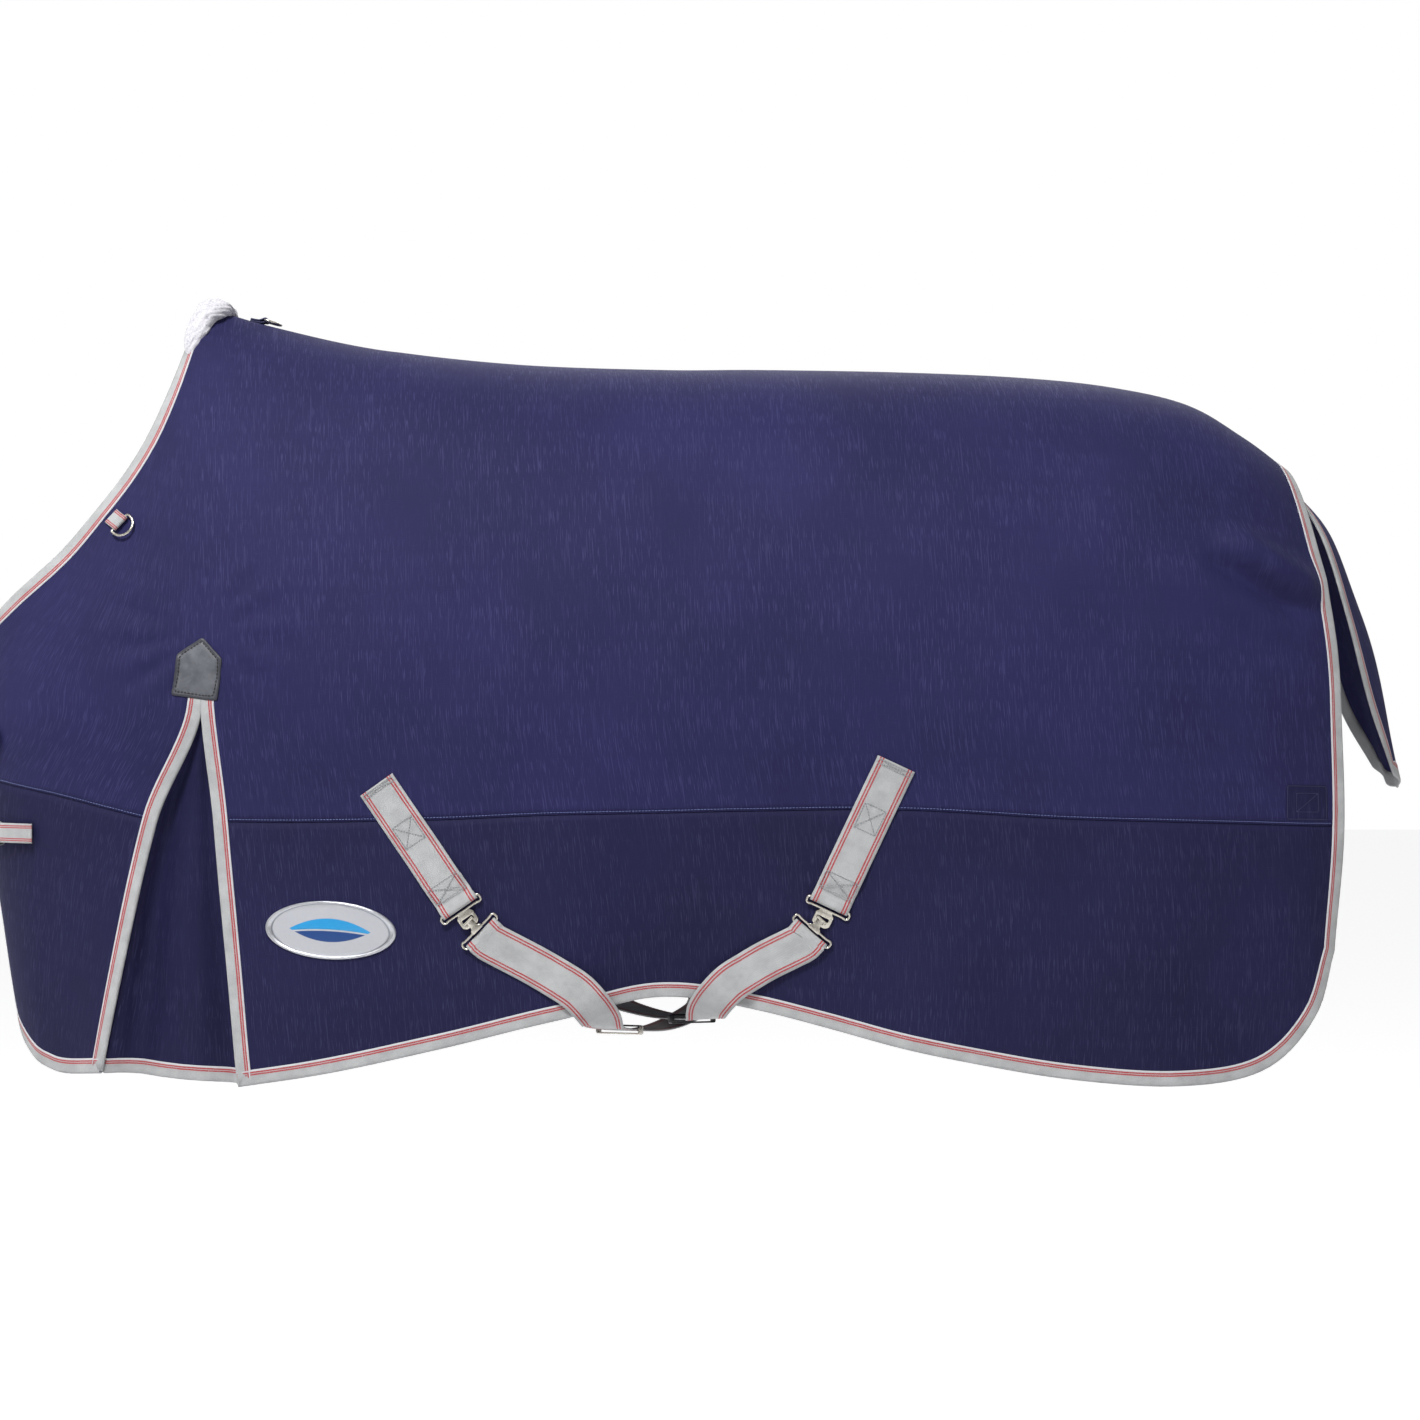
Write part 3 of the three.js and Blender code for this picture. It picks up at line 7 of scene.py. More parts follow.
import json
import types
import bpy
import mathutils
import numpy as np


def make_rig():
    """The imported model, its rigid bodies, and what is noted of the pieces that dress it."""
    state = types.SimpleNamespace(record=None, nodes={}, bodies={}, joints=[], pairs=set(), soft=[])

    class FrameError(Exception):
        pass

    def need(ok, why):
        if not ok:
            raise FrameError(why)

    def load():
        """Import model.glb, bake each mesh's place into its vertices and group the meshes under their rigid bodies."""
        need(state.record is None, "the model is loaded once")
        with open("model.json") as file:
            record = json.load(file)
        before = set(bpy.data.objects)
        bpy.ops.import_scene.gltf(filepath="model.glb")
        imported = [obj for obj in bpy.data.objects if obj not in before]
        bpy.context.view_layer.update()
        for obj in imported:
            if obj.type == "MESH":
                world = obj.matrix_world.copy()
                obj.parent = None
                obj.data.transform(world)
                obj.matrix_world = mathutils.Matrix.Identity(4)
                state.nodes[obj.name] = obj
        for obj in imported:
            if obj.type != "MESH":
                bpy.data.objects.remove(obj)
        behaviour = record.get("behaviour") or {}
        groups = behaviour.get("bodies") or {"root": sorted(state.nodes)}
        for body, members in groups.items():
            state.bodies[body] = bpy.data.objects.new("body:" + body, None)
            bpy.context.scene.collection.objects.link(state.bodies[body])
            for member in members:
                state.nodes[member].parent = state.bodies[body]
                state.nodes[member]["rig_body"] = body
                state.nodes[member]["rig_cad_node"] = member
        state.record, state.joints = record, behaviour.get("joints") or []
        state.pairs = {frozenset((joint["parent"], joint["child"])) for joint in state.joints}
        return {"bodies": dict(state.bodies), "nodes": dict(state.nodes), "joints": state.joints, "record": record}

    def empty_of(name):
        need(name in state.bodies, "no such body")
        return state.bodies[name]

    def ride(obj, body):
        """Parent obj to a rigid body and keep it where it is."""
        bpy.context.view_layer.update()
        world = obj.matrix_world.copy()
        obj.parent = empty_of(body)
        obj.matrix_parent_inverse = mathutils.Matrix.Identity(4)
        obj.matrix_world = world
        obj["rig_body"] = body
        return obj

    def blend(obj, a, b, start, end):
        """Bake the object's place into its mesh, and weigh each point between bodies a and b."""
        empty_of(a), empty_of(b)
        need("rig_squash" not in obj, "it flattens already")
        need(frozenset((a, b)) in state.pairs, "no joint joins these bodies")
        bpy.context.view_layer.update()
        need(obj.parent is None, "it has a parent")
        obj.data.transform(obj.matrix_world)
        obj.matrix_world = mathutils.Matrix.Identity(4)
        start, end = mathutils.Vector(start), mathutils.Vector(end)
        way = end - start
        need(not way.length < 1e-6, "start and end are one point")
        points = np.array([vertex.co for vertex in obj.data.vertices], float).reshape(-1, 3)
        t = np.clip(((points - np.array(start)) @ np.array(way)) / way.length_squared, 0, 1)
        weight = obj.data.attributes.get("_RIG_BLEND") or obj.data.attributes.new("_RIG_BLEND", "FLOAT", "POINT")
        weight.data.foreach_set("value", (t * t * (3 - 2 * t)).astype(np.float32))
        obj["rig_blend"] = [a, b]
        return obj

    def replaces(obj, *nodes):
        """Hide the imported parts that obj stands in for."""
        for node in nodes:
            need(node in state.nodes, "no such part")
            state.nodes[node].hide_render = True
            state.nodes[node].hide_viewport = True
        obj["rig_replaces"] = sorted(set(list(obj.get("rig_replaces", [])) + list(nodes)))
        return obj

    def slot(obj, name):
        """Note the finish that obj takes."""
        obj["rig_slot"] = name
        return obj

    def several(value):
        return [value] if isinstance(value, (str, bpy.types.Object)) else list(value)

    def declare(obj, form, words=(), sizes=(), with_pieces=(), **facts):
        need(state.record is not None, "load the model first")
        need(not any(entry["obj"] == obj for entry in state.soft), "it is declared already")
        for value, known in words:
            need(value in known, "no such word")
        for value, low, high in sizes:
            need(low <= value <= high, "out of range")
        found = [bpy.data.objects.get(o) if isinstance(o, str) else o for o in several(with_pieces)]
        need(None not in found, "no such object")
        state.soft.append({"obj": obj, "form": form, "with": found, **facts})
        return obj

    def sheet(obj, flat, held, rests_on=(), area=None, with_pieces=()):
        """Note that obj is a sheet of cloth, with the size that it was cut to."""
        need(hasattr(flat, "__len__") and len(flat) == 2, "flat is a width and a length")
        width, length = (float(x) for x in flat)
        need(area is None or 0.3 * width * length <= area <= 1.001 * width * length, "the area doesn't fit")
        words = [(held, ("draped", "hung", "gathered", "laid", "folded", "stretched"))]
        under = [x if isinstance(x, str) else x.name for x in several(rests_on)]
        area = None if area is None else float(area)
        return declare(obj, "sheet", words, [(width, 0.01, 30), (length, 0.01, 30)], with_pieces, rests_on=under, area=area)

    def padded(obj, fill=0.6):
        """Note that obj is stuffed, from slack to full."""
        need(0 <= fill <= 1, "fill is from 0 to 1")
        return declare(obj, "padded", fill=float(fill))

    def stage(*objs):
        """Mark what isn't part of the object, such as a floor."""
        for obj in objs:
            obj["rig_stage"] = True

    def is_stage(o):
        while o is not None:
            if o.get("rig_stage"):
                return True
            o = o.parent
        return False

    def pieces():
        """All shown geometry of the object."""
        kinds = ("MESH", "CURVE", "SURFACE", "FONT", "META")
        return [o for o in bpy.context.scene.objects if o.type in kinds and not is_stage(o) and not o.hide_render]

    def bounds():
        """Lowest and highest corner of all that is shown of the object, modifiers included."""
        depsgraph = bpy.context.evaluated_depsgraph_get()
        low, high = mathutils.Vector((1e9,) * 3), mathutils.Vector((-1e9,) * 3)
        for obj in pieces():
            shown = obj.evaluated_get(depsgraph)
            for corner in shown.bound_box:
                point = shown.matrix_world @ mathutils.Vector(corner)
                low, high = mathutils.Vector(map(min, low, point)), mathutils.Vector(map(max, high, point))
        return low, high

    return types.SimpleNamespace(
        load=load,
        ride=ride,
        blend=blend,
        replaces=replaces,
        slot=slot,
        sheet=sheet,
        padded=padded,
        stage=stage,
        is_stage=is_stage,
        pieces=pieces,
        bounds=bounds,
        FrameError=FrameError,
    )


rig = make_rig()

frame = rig.load()

import json
import math

import bmesh
import bpy
import numpy as np
from bpy.props import FloatProperty, FloatVectorProperty, PointerProperty
from mathutils import Matrix, Vector
from mathutils.bvhtree import BVHTree

bl_info = {
    "name": "Turnout rug",
    "version": (1, 0, 0),
    "blender": (4, 5, 0),
    "location": "3D View > Sidebar > Rug",
    "description": "Builds a horse's turnout rug piece by piece on its frame",
    "category": "Object",
}

CAD_BOX = [list(corner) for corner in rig.bounds()]
MM = 0.001

# ---------------------------------------------------------------- sizes
LINING_OUT = 1.2 * MM  # offsets from the body surface
SHELL_IN = 2.2 * MM
SHELL_OUT = 3.8 * MM
STITCH_LIFT = 0.12 * MM  # how far a stitch stands off its line
PLATE_EASE = 0.3 * MM  # rounding of a plate's edges
WEB_WIDTH = 50 * MM
CHEST_WIDTH = 25 * MM
TAB_WIDTH = 22 * MM
LOOP_HALF, LOOP_DEPTH = 27.2, 7.4  # of the bent loops that webbing runs through, in millimetres
BADGE_HALF = np.array((83, 36)) * MM
FLOOR = -1565 * MM
EYE = (0, -4.8, -0.436)
SENSOR = 36
VIEW_WIDTH, VIEW_DISTANCE = 1.7324, 4.5  # how wide the view is, this far from the eye
CALM_REACH = 45  # the folds die out this far round a fitting, in millimetres
FRONT_RAILS = {
    "hem": [
        (-893, 7, -812), (-879, 48, -850), (-858, 84, -877),
        (-838, 112, -888), (-812, 140, -893), (-759, 185, -889),
    ],
    "seam": [
        (-953, 7, -512), (-934, 66, -519), (-884, 124, -530),
        (-812, 167, -544), (-748, 192, -559), (-688, 209, -574),
    ],
    "mid": [
        (-967, 7, -452), (-948, 72, -448), (-888, 138, -438),
        (-800, 190, -426), (-712, 221, -419), (-629, 238, -417),
    ],
    "top": [
        (-962, 7, -372), (-937, 66, -346), (-880, 128, -294),
        (-800, 152, -219), (-712, 118, -92), (-655, 20, 82),
    ],
}
MAIN_RAILS = {
    "hem": [
        (-583, 233, -901), (-480, 250, -884), (-340, 270, -853), (-190, 277, -815),
        (-62, 256, -788), (60, 270, -803), (240, 289, -849), (420, 285, -884),
        (570, 270, -896), (680, 248, -880), (748, 226, -815), (775, 210, -735),
    ],
    "seam": [
        (-613, 234, -574), (-500, 255, -574), (-340, 284, -570), (-190, 297, -564),
        (-62, 300, -561), (60, 300, -558), (240, 296, -558), (420, 290, -568),
        (560, 277, -573), (660, 257, -576), (738, 230, -579), (787, 203, -580),
    ],
    "mid": [
        (-629, 238, -417), (-515, 260, -420), (-345, 289, -425), (-190, 303, -430),
        (-62, 308, -432), (60, 308, -432), (240, 303, -430), (420, 293, -428),
        (560, 276, -425), (660, 250, -424), (735, 220, -423), (784, 190, -423),
    ],
    "top": [
        (-655, 20, 82), (-565, 20, 56), (-430, 20, 27), (-250, 20, 7),
        (-62, 20, 0), (60, 20, 0), (240, 20, -3), (400, 20, -10),
        (520, 20, -23), (615, 20, -46), (685, 20, -84), (742, 20, -128),
    ],
}
ROWS = np.concatenate([
    np.linspace(0, 1, 31),
    np.linspace(1, 2, 15)[1:],
    np.linspace(2, 3, 58)[1:],
])  # 0 hem, 1 side seam, 2 widest level, 3 top edge
SEAM_ROW, APEX_ROW, TOP_ROW = 30, 44, 101
FRONT_COLUMNS, MAIN_COLUMNS = 46, 146


def hardware(origin, across, along, normal):
    """The place of a fitting as a matrix: its x lies across, y along and z off the cloth."""
    columns = [Vector(across), Vector(along), Vector(normal)]
    turn = Matrix([[c[k] for c in columns] for k in range(3)]).to_4x4()
    return Matrix.Translation(Vector(origin)) @ turn


NECK_RING = hardware(
    (-0.740655, -0.174473, -0.201073), (-0.66599, -0.124064, -0.735571),
    (0.699089, -0.447826, -0.557428), (-0.260252, -0.885472, 0.38498),
)
LEG_RING = hardware(
    (0.7351, -0.223037, -0.56039), (0.890978, 0.454047, 0),
    (0.027684, -0.054324, -0.998139), (-0.453202, 0.88932, -0.060972),
)
WITHER_RING = hardware(
    (-0.577169, 0, 0.070133), (0, -1, 0), (0.960714, 0, -0.27754), (0.27754, 0, 0.960714),
)
CHAPES = {
    "front": hardware(
        (-0.30665, -0.29065, -0.67647), (-0.82215, 0.08555, -0.56281),
        (0.56504, 0.0023, -0.82506), (-0.06929, -0.99633, -0.05023),
    ),
    "rear": hardware(
        (0.14577, -0.29796, -0.67418), (-0.90425, -0.03154, 0.42584),
        (-0.42629, 0.12432, -0.896), (-0.02468, -0.99174, -0.12586),
    ),
}
HOOKS = {
    "front": hardware(
        (-0.27894, -0.29093, -0.70927), (0.69499, -0.08686, 0.71375),
        (-0.71652, -0.00104, 0.69756), (-0.05985, -0.99622, -0.06296),
    ),
    "rear": hardware(
        (0.12226, -0.29401, -0.70915), (0.76118, -0.01475, -0.64837),
        (0.64614, -0.06869, 0.76012), (-0.05575, -0.99753, -0.04276),
    ),
}
BUCKLES = {
    "upper": hardware(
        (-0.95587, -0.06496, -0.47569), (-0.1724, -0.06394, 0.98295),
        (-0.33236, 0.94315, 0.00306), (-0.92726, -0.32617, -0.18385),
    ),
    "lower": hardware(
        (-0.92985, -0.0649, -0.59356), (-0.1683, -0.05426, 0.98424),
        (-0.31927, 0.94766, -0.00235), (-0.9326, -0.31464, -0.17682),
    ),
}
CHAPE_TOPS = {"front": (-408, -527), "rear": (227, -501)}  # x, z of the sewn end
CHAPE_FEET = {"front": (-306, -676), "rear": (146, -673)}
STRAP_TURNS = {"front": (-0.15855, -0.28641, -0.822), "rear": (0.02172, -0.2792, -0.812)}
STRAP_SAG = {"front": (0.014, 0.012), "rear": (0.014, 0)}
PIVOT_Y, PIVOT_Z = 0.287414, -0.825
CHEST_LEVELS = {"upper": -0.474, "lower": -0.592}
CHEST_TIPS = {"upper": 0.152, "lower": 0.170}
FLAP_TOP = np.array([752, 0, -146]) * MM
FLAP_LINE = [(0, 0), (52, -70), (92, -170), (122, -285), (140, -390)]
FLAP_HALF_WIDTHS = [62, 108, 122, 112, 66]
FLAP_WRAP = [10, 26, 36, 34, 16]
FLAP_THICKNESS = 1.6 * MM
FLAP_TUCK_ROWS = 8  # rows of the flap's cloth that are hidden under the rug


# ---------------------------------------------------------------- what a user would change
class RugClothSettings(bpy.types.PropertyGroup):
    drape: FloatProperty(
        name="Drape", description="Depth of the soft folds towards the hem",
        default=0.0042, min=0, max=0.012, unit="LENGTH", precision=4,
    )
    pleat: FloatProperty(
        name="Gusset pleat", description="Depth of the pleat in the shoulder gusset",
        default=0.034, min=0, max=0.05, unit="LENGTH", precision=4,
    )
    navy: FloatVectorProperty(
        name="Shell colour", description="Colour of the outer cloth",
        default=(0.0135, 0.0128, 0.060), subtype="COLOR", min=0, max=1,
    )
    lining: FloatVectorProperty(
        name="Lining colour", description="Colour of the smooth lining",
        default=(0.022, 0.022, 0.05), subtype="COLOR", min=0, max=1,
    )


class RugTrimSettings(bpy.types.PropertyGroup):
    tape_width: FloatProperty(
        name="Tape width", description="How far the binding reaches in from an edge",
        default=0.0175, min=0.01, max=0.03, unit="LENGTH", precision=4,
    )
    web_thickness: FloatProperty(
        name="Webbing thickness", description="Thickness of one layer of webbing",
        default=0.0019, min=0.001, max=0.003, unit="LENGTH", precision=4,
    )
    grey: FloatVectorProperty(
        name="Trim colour", description="Ground colour of the tape and webbing",
        default=(0.385, 0.39, 0.395), subtype="COLOR", min=0, max=1,
    )
    red: FloatVectorProperty(
        name="Line colour", description="Colour of the fine woven lines",
        default=(0.34, 0.008, 0.015), subtype="COLOR", min=0, max=1,
    )


class RugFittingSettings(bpy.types.PropertyGroup):
    rod: FloatProperty(
        name="Rod", description="Radius of the bent rod of the hooks and buckles",
        default=0.0015, min=0.001, max=0.003, unit="LENGTH", precision=4,
    )
    nickel: FloatVectorProperty(
        name="Plating", description="Colour of the plated fittings",
        default=(0.56, 0.53, 0.47), subtype="COLOR", min=0, max=1,
    )


def cloth_settings():
    return bpy.context.scene.rug_cloth


def trim_settings():
    return bpy.context.scene.rug_trim


def fitting_settings():
    return bpy.context.scene.rug_fittings


# ---------------------------------------------------------------- the body surface
def unit(v):
    return v / np.maximum(np.linalg.norm(v, axis=-1, keepdims=True), 1e-12)


def along_rail(points, u):
    """Points of a uniform Catmull-Rom curve at values from 0 to 1."""
    points = np.asarray(points, float)
    place = np.clip(u, 0, 1) * (len(points) - 1)
    first = np.minimum(place.astype(int), len(points) - 2)
    t = (place - first)[:, None]
    ends = np.vstack([2 * points[0] - points[1], points, 2 * points[-1] - points[-2]])
    p0, p1, p2, p3 = (ends[first + k] for k in range(4))
    out, back = (p2 - p0) / 2, (p3 - p1) / 2
    square = 3 * (p2 - p1) - 2 * out - back
    cube = 2 * (p1 - p2) + out + back
    return p1 + t * (out + t * (square + t * cube))


def hermite(p0, p1, t0, t1, t):
    a = 2 * t**3 - 3 * t**2 + 1
    return a * p0 + (1 - a) * p1 + (t**3 - 2 * t**2 + t) * t0 + (t**3 - t**2) * t1


def ribs(hem, seam, mid, top):
    """Each rib runs from the hem over the side seam and the widest level to the top edge."""
    over_back = np.clip((top[:, :1] / MM + 700) / 300, 0, 1)
    reach = top - mid
    lower = unit(mid - hem)
    even = np.ones_like(over_back)
    at_mid = reach * np.hstack([0.4 * even, 0.12 * even, 1.1 + 0.5 * over_back])
    ease = 0.6 * (1 - over_back)
    at_top = reach * (0, 1.75, 0) * (1 - ease) + reach * ease
    low = np.linalg.norm(seam - hem, axis=1, keepdims=True)
    high = np.linalg.norm(mid - seam, axis=1, keepdims=True)
    made = []
    for row in ROWS:
        if row <= 1:
            made.append(hermite(hem, seam, unit(seam - hem) * low, lower * low, row))
        elif row <= 2:
            made.append(hermite(seam, mid, lower * high, unit(at_mid) * high, row - 1))
        else:
            made.append(hermite(mid, top, at_mid, at_top, row - 2))
    return np.stack(made, axis=1)


def patch(rails, columns):
    """A grid of points on the left side, evenly spaced along the widest level."""
    tables = {k: np.array(v, float) * (1, -1, 1) * MM for k, v in rails.items()}
    fine = np.linspace(0, 1, 2000)
    length = run_length(along_rail(tables["mid"], fine))
    u = np.interp(np.linspace(0, length[-1], columns), length, fine)
    return ribs(*(along_rail(tables[k], u) for k in ("hem", "seam", "mid", "top")))


def run_length(points):
    """Distance along a line of points, for each of them."""
    gaps = np.linalg.norm(np.diff(points, axis=0), axis=-1)
    return np.concatenate([[0], np.cumsum(gaps)])


def at_lengths(at, run, values):
    """Rows of values at these distances along a line."""
    return np.stack([np.interp(at, run, column) for column in values.T], axis=-1)


def vertex_normals(points, quads):
    a, b, c, d = (points[quads[:, k]] for k in range(4))
    facing = np.cross(c - a, d - b)
    found = np.zeros_like(points)
    for k in range(4):
        np.add.at(found, quads[:, k], facing)
    return unit(found)


class Surface:
    """One face of cloth: points, outward normals, quads, and tests for what lies under a point."""

    def __init__(self, points, quads):
        self.points, self.quads = points, quads
        self.normals = vertex_normals(points, quads)
        self.tree = BVHTree.FromPolygons(points.tolist(), quads.tolist())

    def found(self, hit):
        place, _, face, _ = hit
        if place is None:
            raise RuntimeError("no cloth under a point that should lie on it")
        place = np.array(place)
        corners = self.quads[face]
        near = 1 / (np.linalg.norm(self.points[corners] - place, axis=1) + 1e-5)
        return place, unit((self.normals[corners] * near[:, None]).sum(axis=0))

    def nearest(self, point):
        return self.found(self.tree.find_nearest(Vector(point)))

    def struck(self, start, heading):
        return self.found(self.tree.ray_cast(Vector(start), Vector(heading)))

    def on_left(self, x, z, lift=0.0):
        place, normal = self.struck((x, -2, z), (0, 1, 0))
        return place + normal * lift, normal


FITTING_SPOTS = [
    (-738, -205), (738, -560), (-580, 60), (-408, -527), (-357, -601), (-306, -676),
    (227, -501), (187, -587), (-290, -700), (146, -673), (130, -700), (-930, -475),
    (-905, -592), (-960, -475), (-935, -592),
]
DARTS = [  # start and end of a ridge in x and z, and its height in metres
    ((634, -228), (756, -300), 0.021),
    ((560, -268), (730, -356), 0.005),
]


def folds(points, side):
    """How far the hanging cloth stands off the plain body surface, in metres."""
    x, z = points[:, 0] / MM, points[:, 2] / MM
    turn = 0.0 if side == "left" else 1.9
    low = np.clip((-520 - z) / 360, 0, 1) ** 1.3
    wave = np.sin(x / 39 + turn + 0.9 * np.sin(z / 150 + turn))
    wave = wave + 0.6 * np.sin(x / 23 - turn + z / 210)
    hang = 0.62 * wave * low * cloth_settings().drape
    soft = 0.0019 * np.sin(x / 64 + z / 97 + turn) + 0.0008 * np.sin(x / 31 - z / 44)
    front = 0.004 * np.exp(-(((x + 800) / 90) ** 2)) * np.clip((-450 - z) / 200, 0, 1)
    dart = 0.0
    for start, end, height in DARTS:
        start, end = np.array(start, float), np.array(end, float)
        way = (end - start) / np.linalg.norm(end - start)
        off = np.stack([x, z], axis=1) - start
        run = off @ way / np.linalg.norm(end - start)
        above = off @ np.array([-way[1], way[0]])
        crest = np.exp(-((above / np.where(above > 0, 27, 10)) ** 2))
        tuck = 0.5 * np.exp(-(((above + 25) / 15) ** 2))
        fade = np.clip(run * 4 + 0.4, 0, 1) * np.clip((1.05 - run) * 4, 0, 1)
        dart = dart + height * (crest - tuck) * fade
    pull = np.hypot(x + 632, z + 345)
    tug = np.sin(np.arctan2(z + 345, x + 632) * 13) * np.exp(-(((pull - 70) / 45) ** 2))
    calm = np.ones_like(x)
    for fx, fz in FITTING_SPOTS:
        calm = calm * (1 - 0.9 * np.exp(-(((x - fx) ** 2 + (z - fz) ** 2) / CALM_REACH**2)))
    over_spine = np.clip((-z - 10) / 60, 0, 1)
    return (hang + (soft + front + dart + 0.0024 * tug) * over_spine) * calm


class BodyCloth(Surface):
    """The whole rug's surface, as four patches and the strip on the spine."""

    def __init__(self):
        rows = len(ROWS)
        main, front = patch(MAIN_RAILS, MAIN_COLUMNS), patch(FRONT_RAILS, FRONT_COLUMNS)
        front[-1, APEX_ROW:] = main[0, APEX_ROW:]
        points, self.ids = [], {}
        count = 0
        for side, flip in (("left", 1), ("right", -1)):
            for name, grid in (("main", main), ("front", front)):
                own = np.arange(grid.shape[0] * rows).reshape(-1, rows) + count
                count += own.size
                points.append((grid * (1, flip, 1)).reshape(-1, 3))
                if name == "front":
                    own[-1, APEX_ROW:] = self.ids[side, "main"][0, APEX_ROW:]
                self.ids[side, name] = own
        tops = [self.ids[side, "main"][:, TOP_ROW] for side in ("left", "right")]
        flat = np.vstack(points)
        strip = [tops[0]]
        for t in (0.25, 0.5, 0.75):
            level = flat[tops[0]] * (1 - t) + flat[tops[1]] * t
            points.append(level + (0, 0, 0.0012 * 4 * t * (1 - t)))
            strip.append(np.arange(len(level)) + count)
            count += len(level)
        self.ids["spine"] = np.stack([*strip, tops[1]], axis=1)
        plain = np.vstack(points)
        quads, labels, places = [], [], []
        for (side, name), grid in (("left", "front"), front), (("left", "main"), main), \
                (("right", "front"), front), (("right", "main"), main):
            block, where = self.blocks(self.ids[side, name], self.flat_places(grid, name))
            if side == "right":
                block, where = block[:, ::-1], where[:, ::-1]
            below = np.tile(np.arange(rows - 1) < SEAM_ROW, grid.shape[0] - 1)
            quads.append(block)
            places.append(where)
            labels += [f"{side} {name} {'lower' if low else 'upper'}" for low in below]
        spine = self.ids["spine"]
        run = run_length(plain[spine[:, 0]])
        across = np.linspace(0, 0.04, 5)
        over = np.stack(np.meshgrid(run, across, indexing="ij"), axis=-1)
        block, where = self.blocks(spine, over)
        quads.append(block)
        places.append(where)
        labels += ["spine upper"] * len(block)
        self.labels = np.array(labels)
        self.places = np.vstack(places)
        quads = np.vstack(quads)
        used = np.unique(quads)
        lookup = np.full(len(plain), -1)
        lookup[used] = np.arange(len(used))
        quads = lookup[quads]
        self.ids = {k: lookup[v] for k, v in self.ids.items()}
        plain = plain[used]
        lift = np.zeros(len(plain))
        for side, sign in (("left", -1), ("right", 1)):
            here = plain[:, 1] * sign > 0
            lift[here] = folds(plain[here], side)
        super().__init__(plain + vertex_normals(plain, quads) * lift[:, None], quads)

    @staticmethod
    def blocks(ids, places):
        """Quads of a grid of point numbers, and the flat place of each corner."""
        corner = [(0, 0), (1, 0), (1, 1), (0, 1)]
        n, m = ids.shape
        pick = lambda grid, i, k: grid[i:n - 1 + i, k:m - 1 + k].reshape(-1, *grid.shape[2:])
        return (np.stack([pick(ids, *c) for c in corner], axis=1),
                np.stack([pick(places, *c) for c in corner], axis=1))

    @staticmethod
    def flat_places(grid, name):
        """Distance along the rug from the gusset and up the rib from the side seam."""
        gaps = np.linalg.norm(np.diff(grid, axis=0), axis=-1)
        along = np.vstack([np.zeros(grid.shape[1]), np.cumsum(gaps, axis=0)])
        if name == "front":
            along = along - along[-1]
        rise = np.linalg.norm(np.diff(grid, axis=1), axis=-1)
        up = np.hstack([np.zeros((len(grid), 1)), np.cumsum(rise, axis=1)])
        return np.stack([along, up - up[:, SEAM_ROW:SEAM_ROW + 1]], axis=-1)


_made = {}


def body():
    if "body" not in _made:
        _made["body"] = BodyCloth()
    return _made["body"]


# ---------------------------------------------------------------- making meshes
def alone(obj):
    """Leaves only this object selected and active."""
    bpy.ops.object.select_all(action="DESELECT")
    obj.select_set(True)
    bpy.context.view_layer.objects.active = obj
    return obj


def apply(obj, kind, **values):
    """Adds a modifier with these values and applies it."""
    alone(obj)
    modifier = obj.modifiers.new(kind.title(), kind)
    for name, value in values.items():
        setattr(modifier, name, value)
    bpy.ops.object.modifier_apply(modifier=modifier.name)
    return obj


def from_data(name, points, faces, places=None):
    """A new object; places holds a flat place for each corner or for each point."""
    mesh = bpy.data.meshes.new(name)
    mesh.from_pydata(np.asarray(points).tolist(), [], [list(map(int, f)) for f in faces])
    if places is not None:
        corners = np.zeros(len(mesh.loops), int)
        mesh.loops.foreach_get("vertex_index", corners)
        flat = np.asarray(places, float).reshape(-1, 2)
        if len(flat) == len(points) and len(flat) != len(corners):
            flat = flat[corners]
        layer = mesh.uv_layers.new(name="flat")
        layer.data.foreach_set("uv", flat.ravel())
    mesh.shade_smooth()
    obj = bpy.data.objects.new(name, mesh)
    bpy.context.collection.objects.link(obj)
    return obj


def finish_piece(obj, body_name, slot, finish, *nodes):
    """Gives a piece its material, its nodes and its body. A blended piece has None for a body."""
    obj.data.materials.clear()
    obj.data.materials.append(bpy.data.materials[finish])
    if nodes:
        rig.replaces(obj, *nodes)
    if body_name:
        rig.ride(obj, body_name)
    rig.slot(obj, slot)


def lofted(name, sections, places):
    """A skin over equal closed sections, with capped ends."""
    n, m = sections.shape[:2]
    faces = []
    for i in range(n - 1):
        for k in range(m):
            beside = (k + 1) % m
            faces.append((i * m + k, (i + 1) * m + k, (i + 1) * m + beside, i * m + beside))
    faces.append(tuple(range(m)))
    faces.append(tuple(range(n * m - 1, (n - 1) * m - 1, -1)))
    obj = from_data(name, sections.reshape(-1, 3), faces, places.reshape(-1, 2))
    outward(obj)
    return obj


def outward(obj):
    mesh = bmesh.new()
    mesh.from_mesh(obj.data)
    bmesh.ops.recalc_face_normals(mesh, faces=mesh.faces)
    mesh.to_mesh(obj.data)
    mesh.free()


def evenly(line, step):
    """Points at even steps on a smooth curve through a few given ones."""
    line = np.asarray(line, float)
    fine = np.linspace(0, 1, 60 * len(line))
    smooth = along_rail(line, fine)
    length = run_length(smooth[:, :3])
    count = max(4, int(length[-1] / step))
    u = np.interp(np.linspace(0, length[-1], count + 1), length, fine)
    return along_rail(line, u)


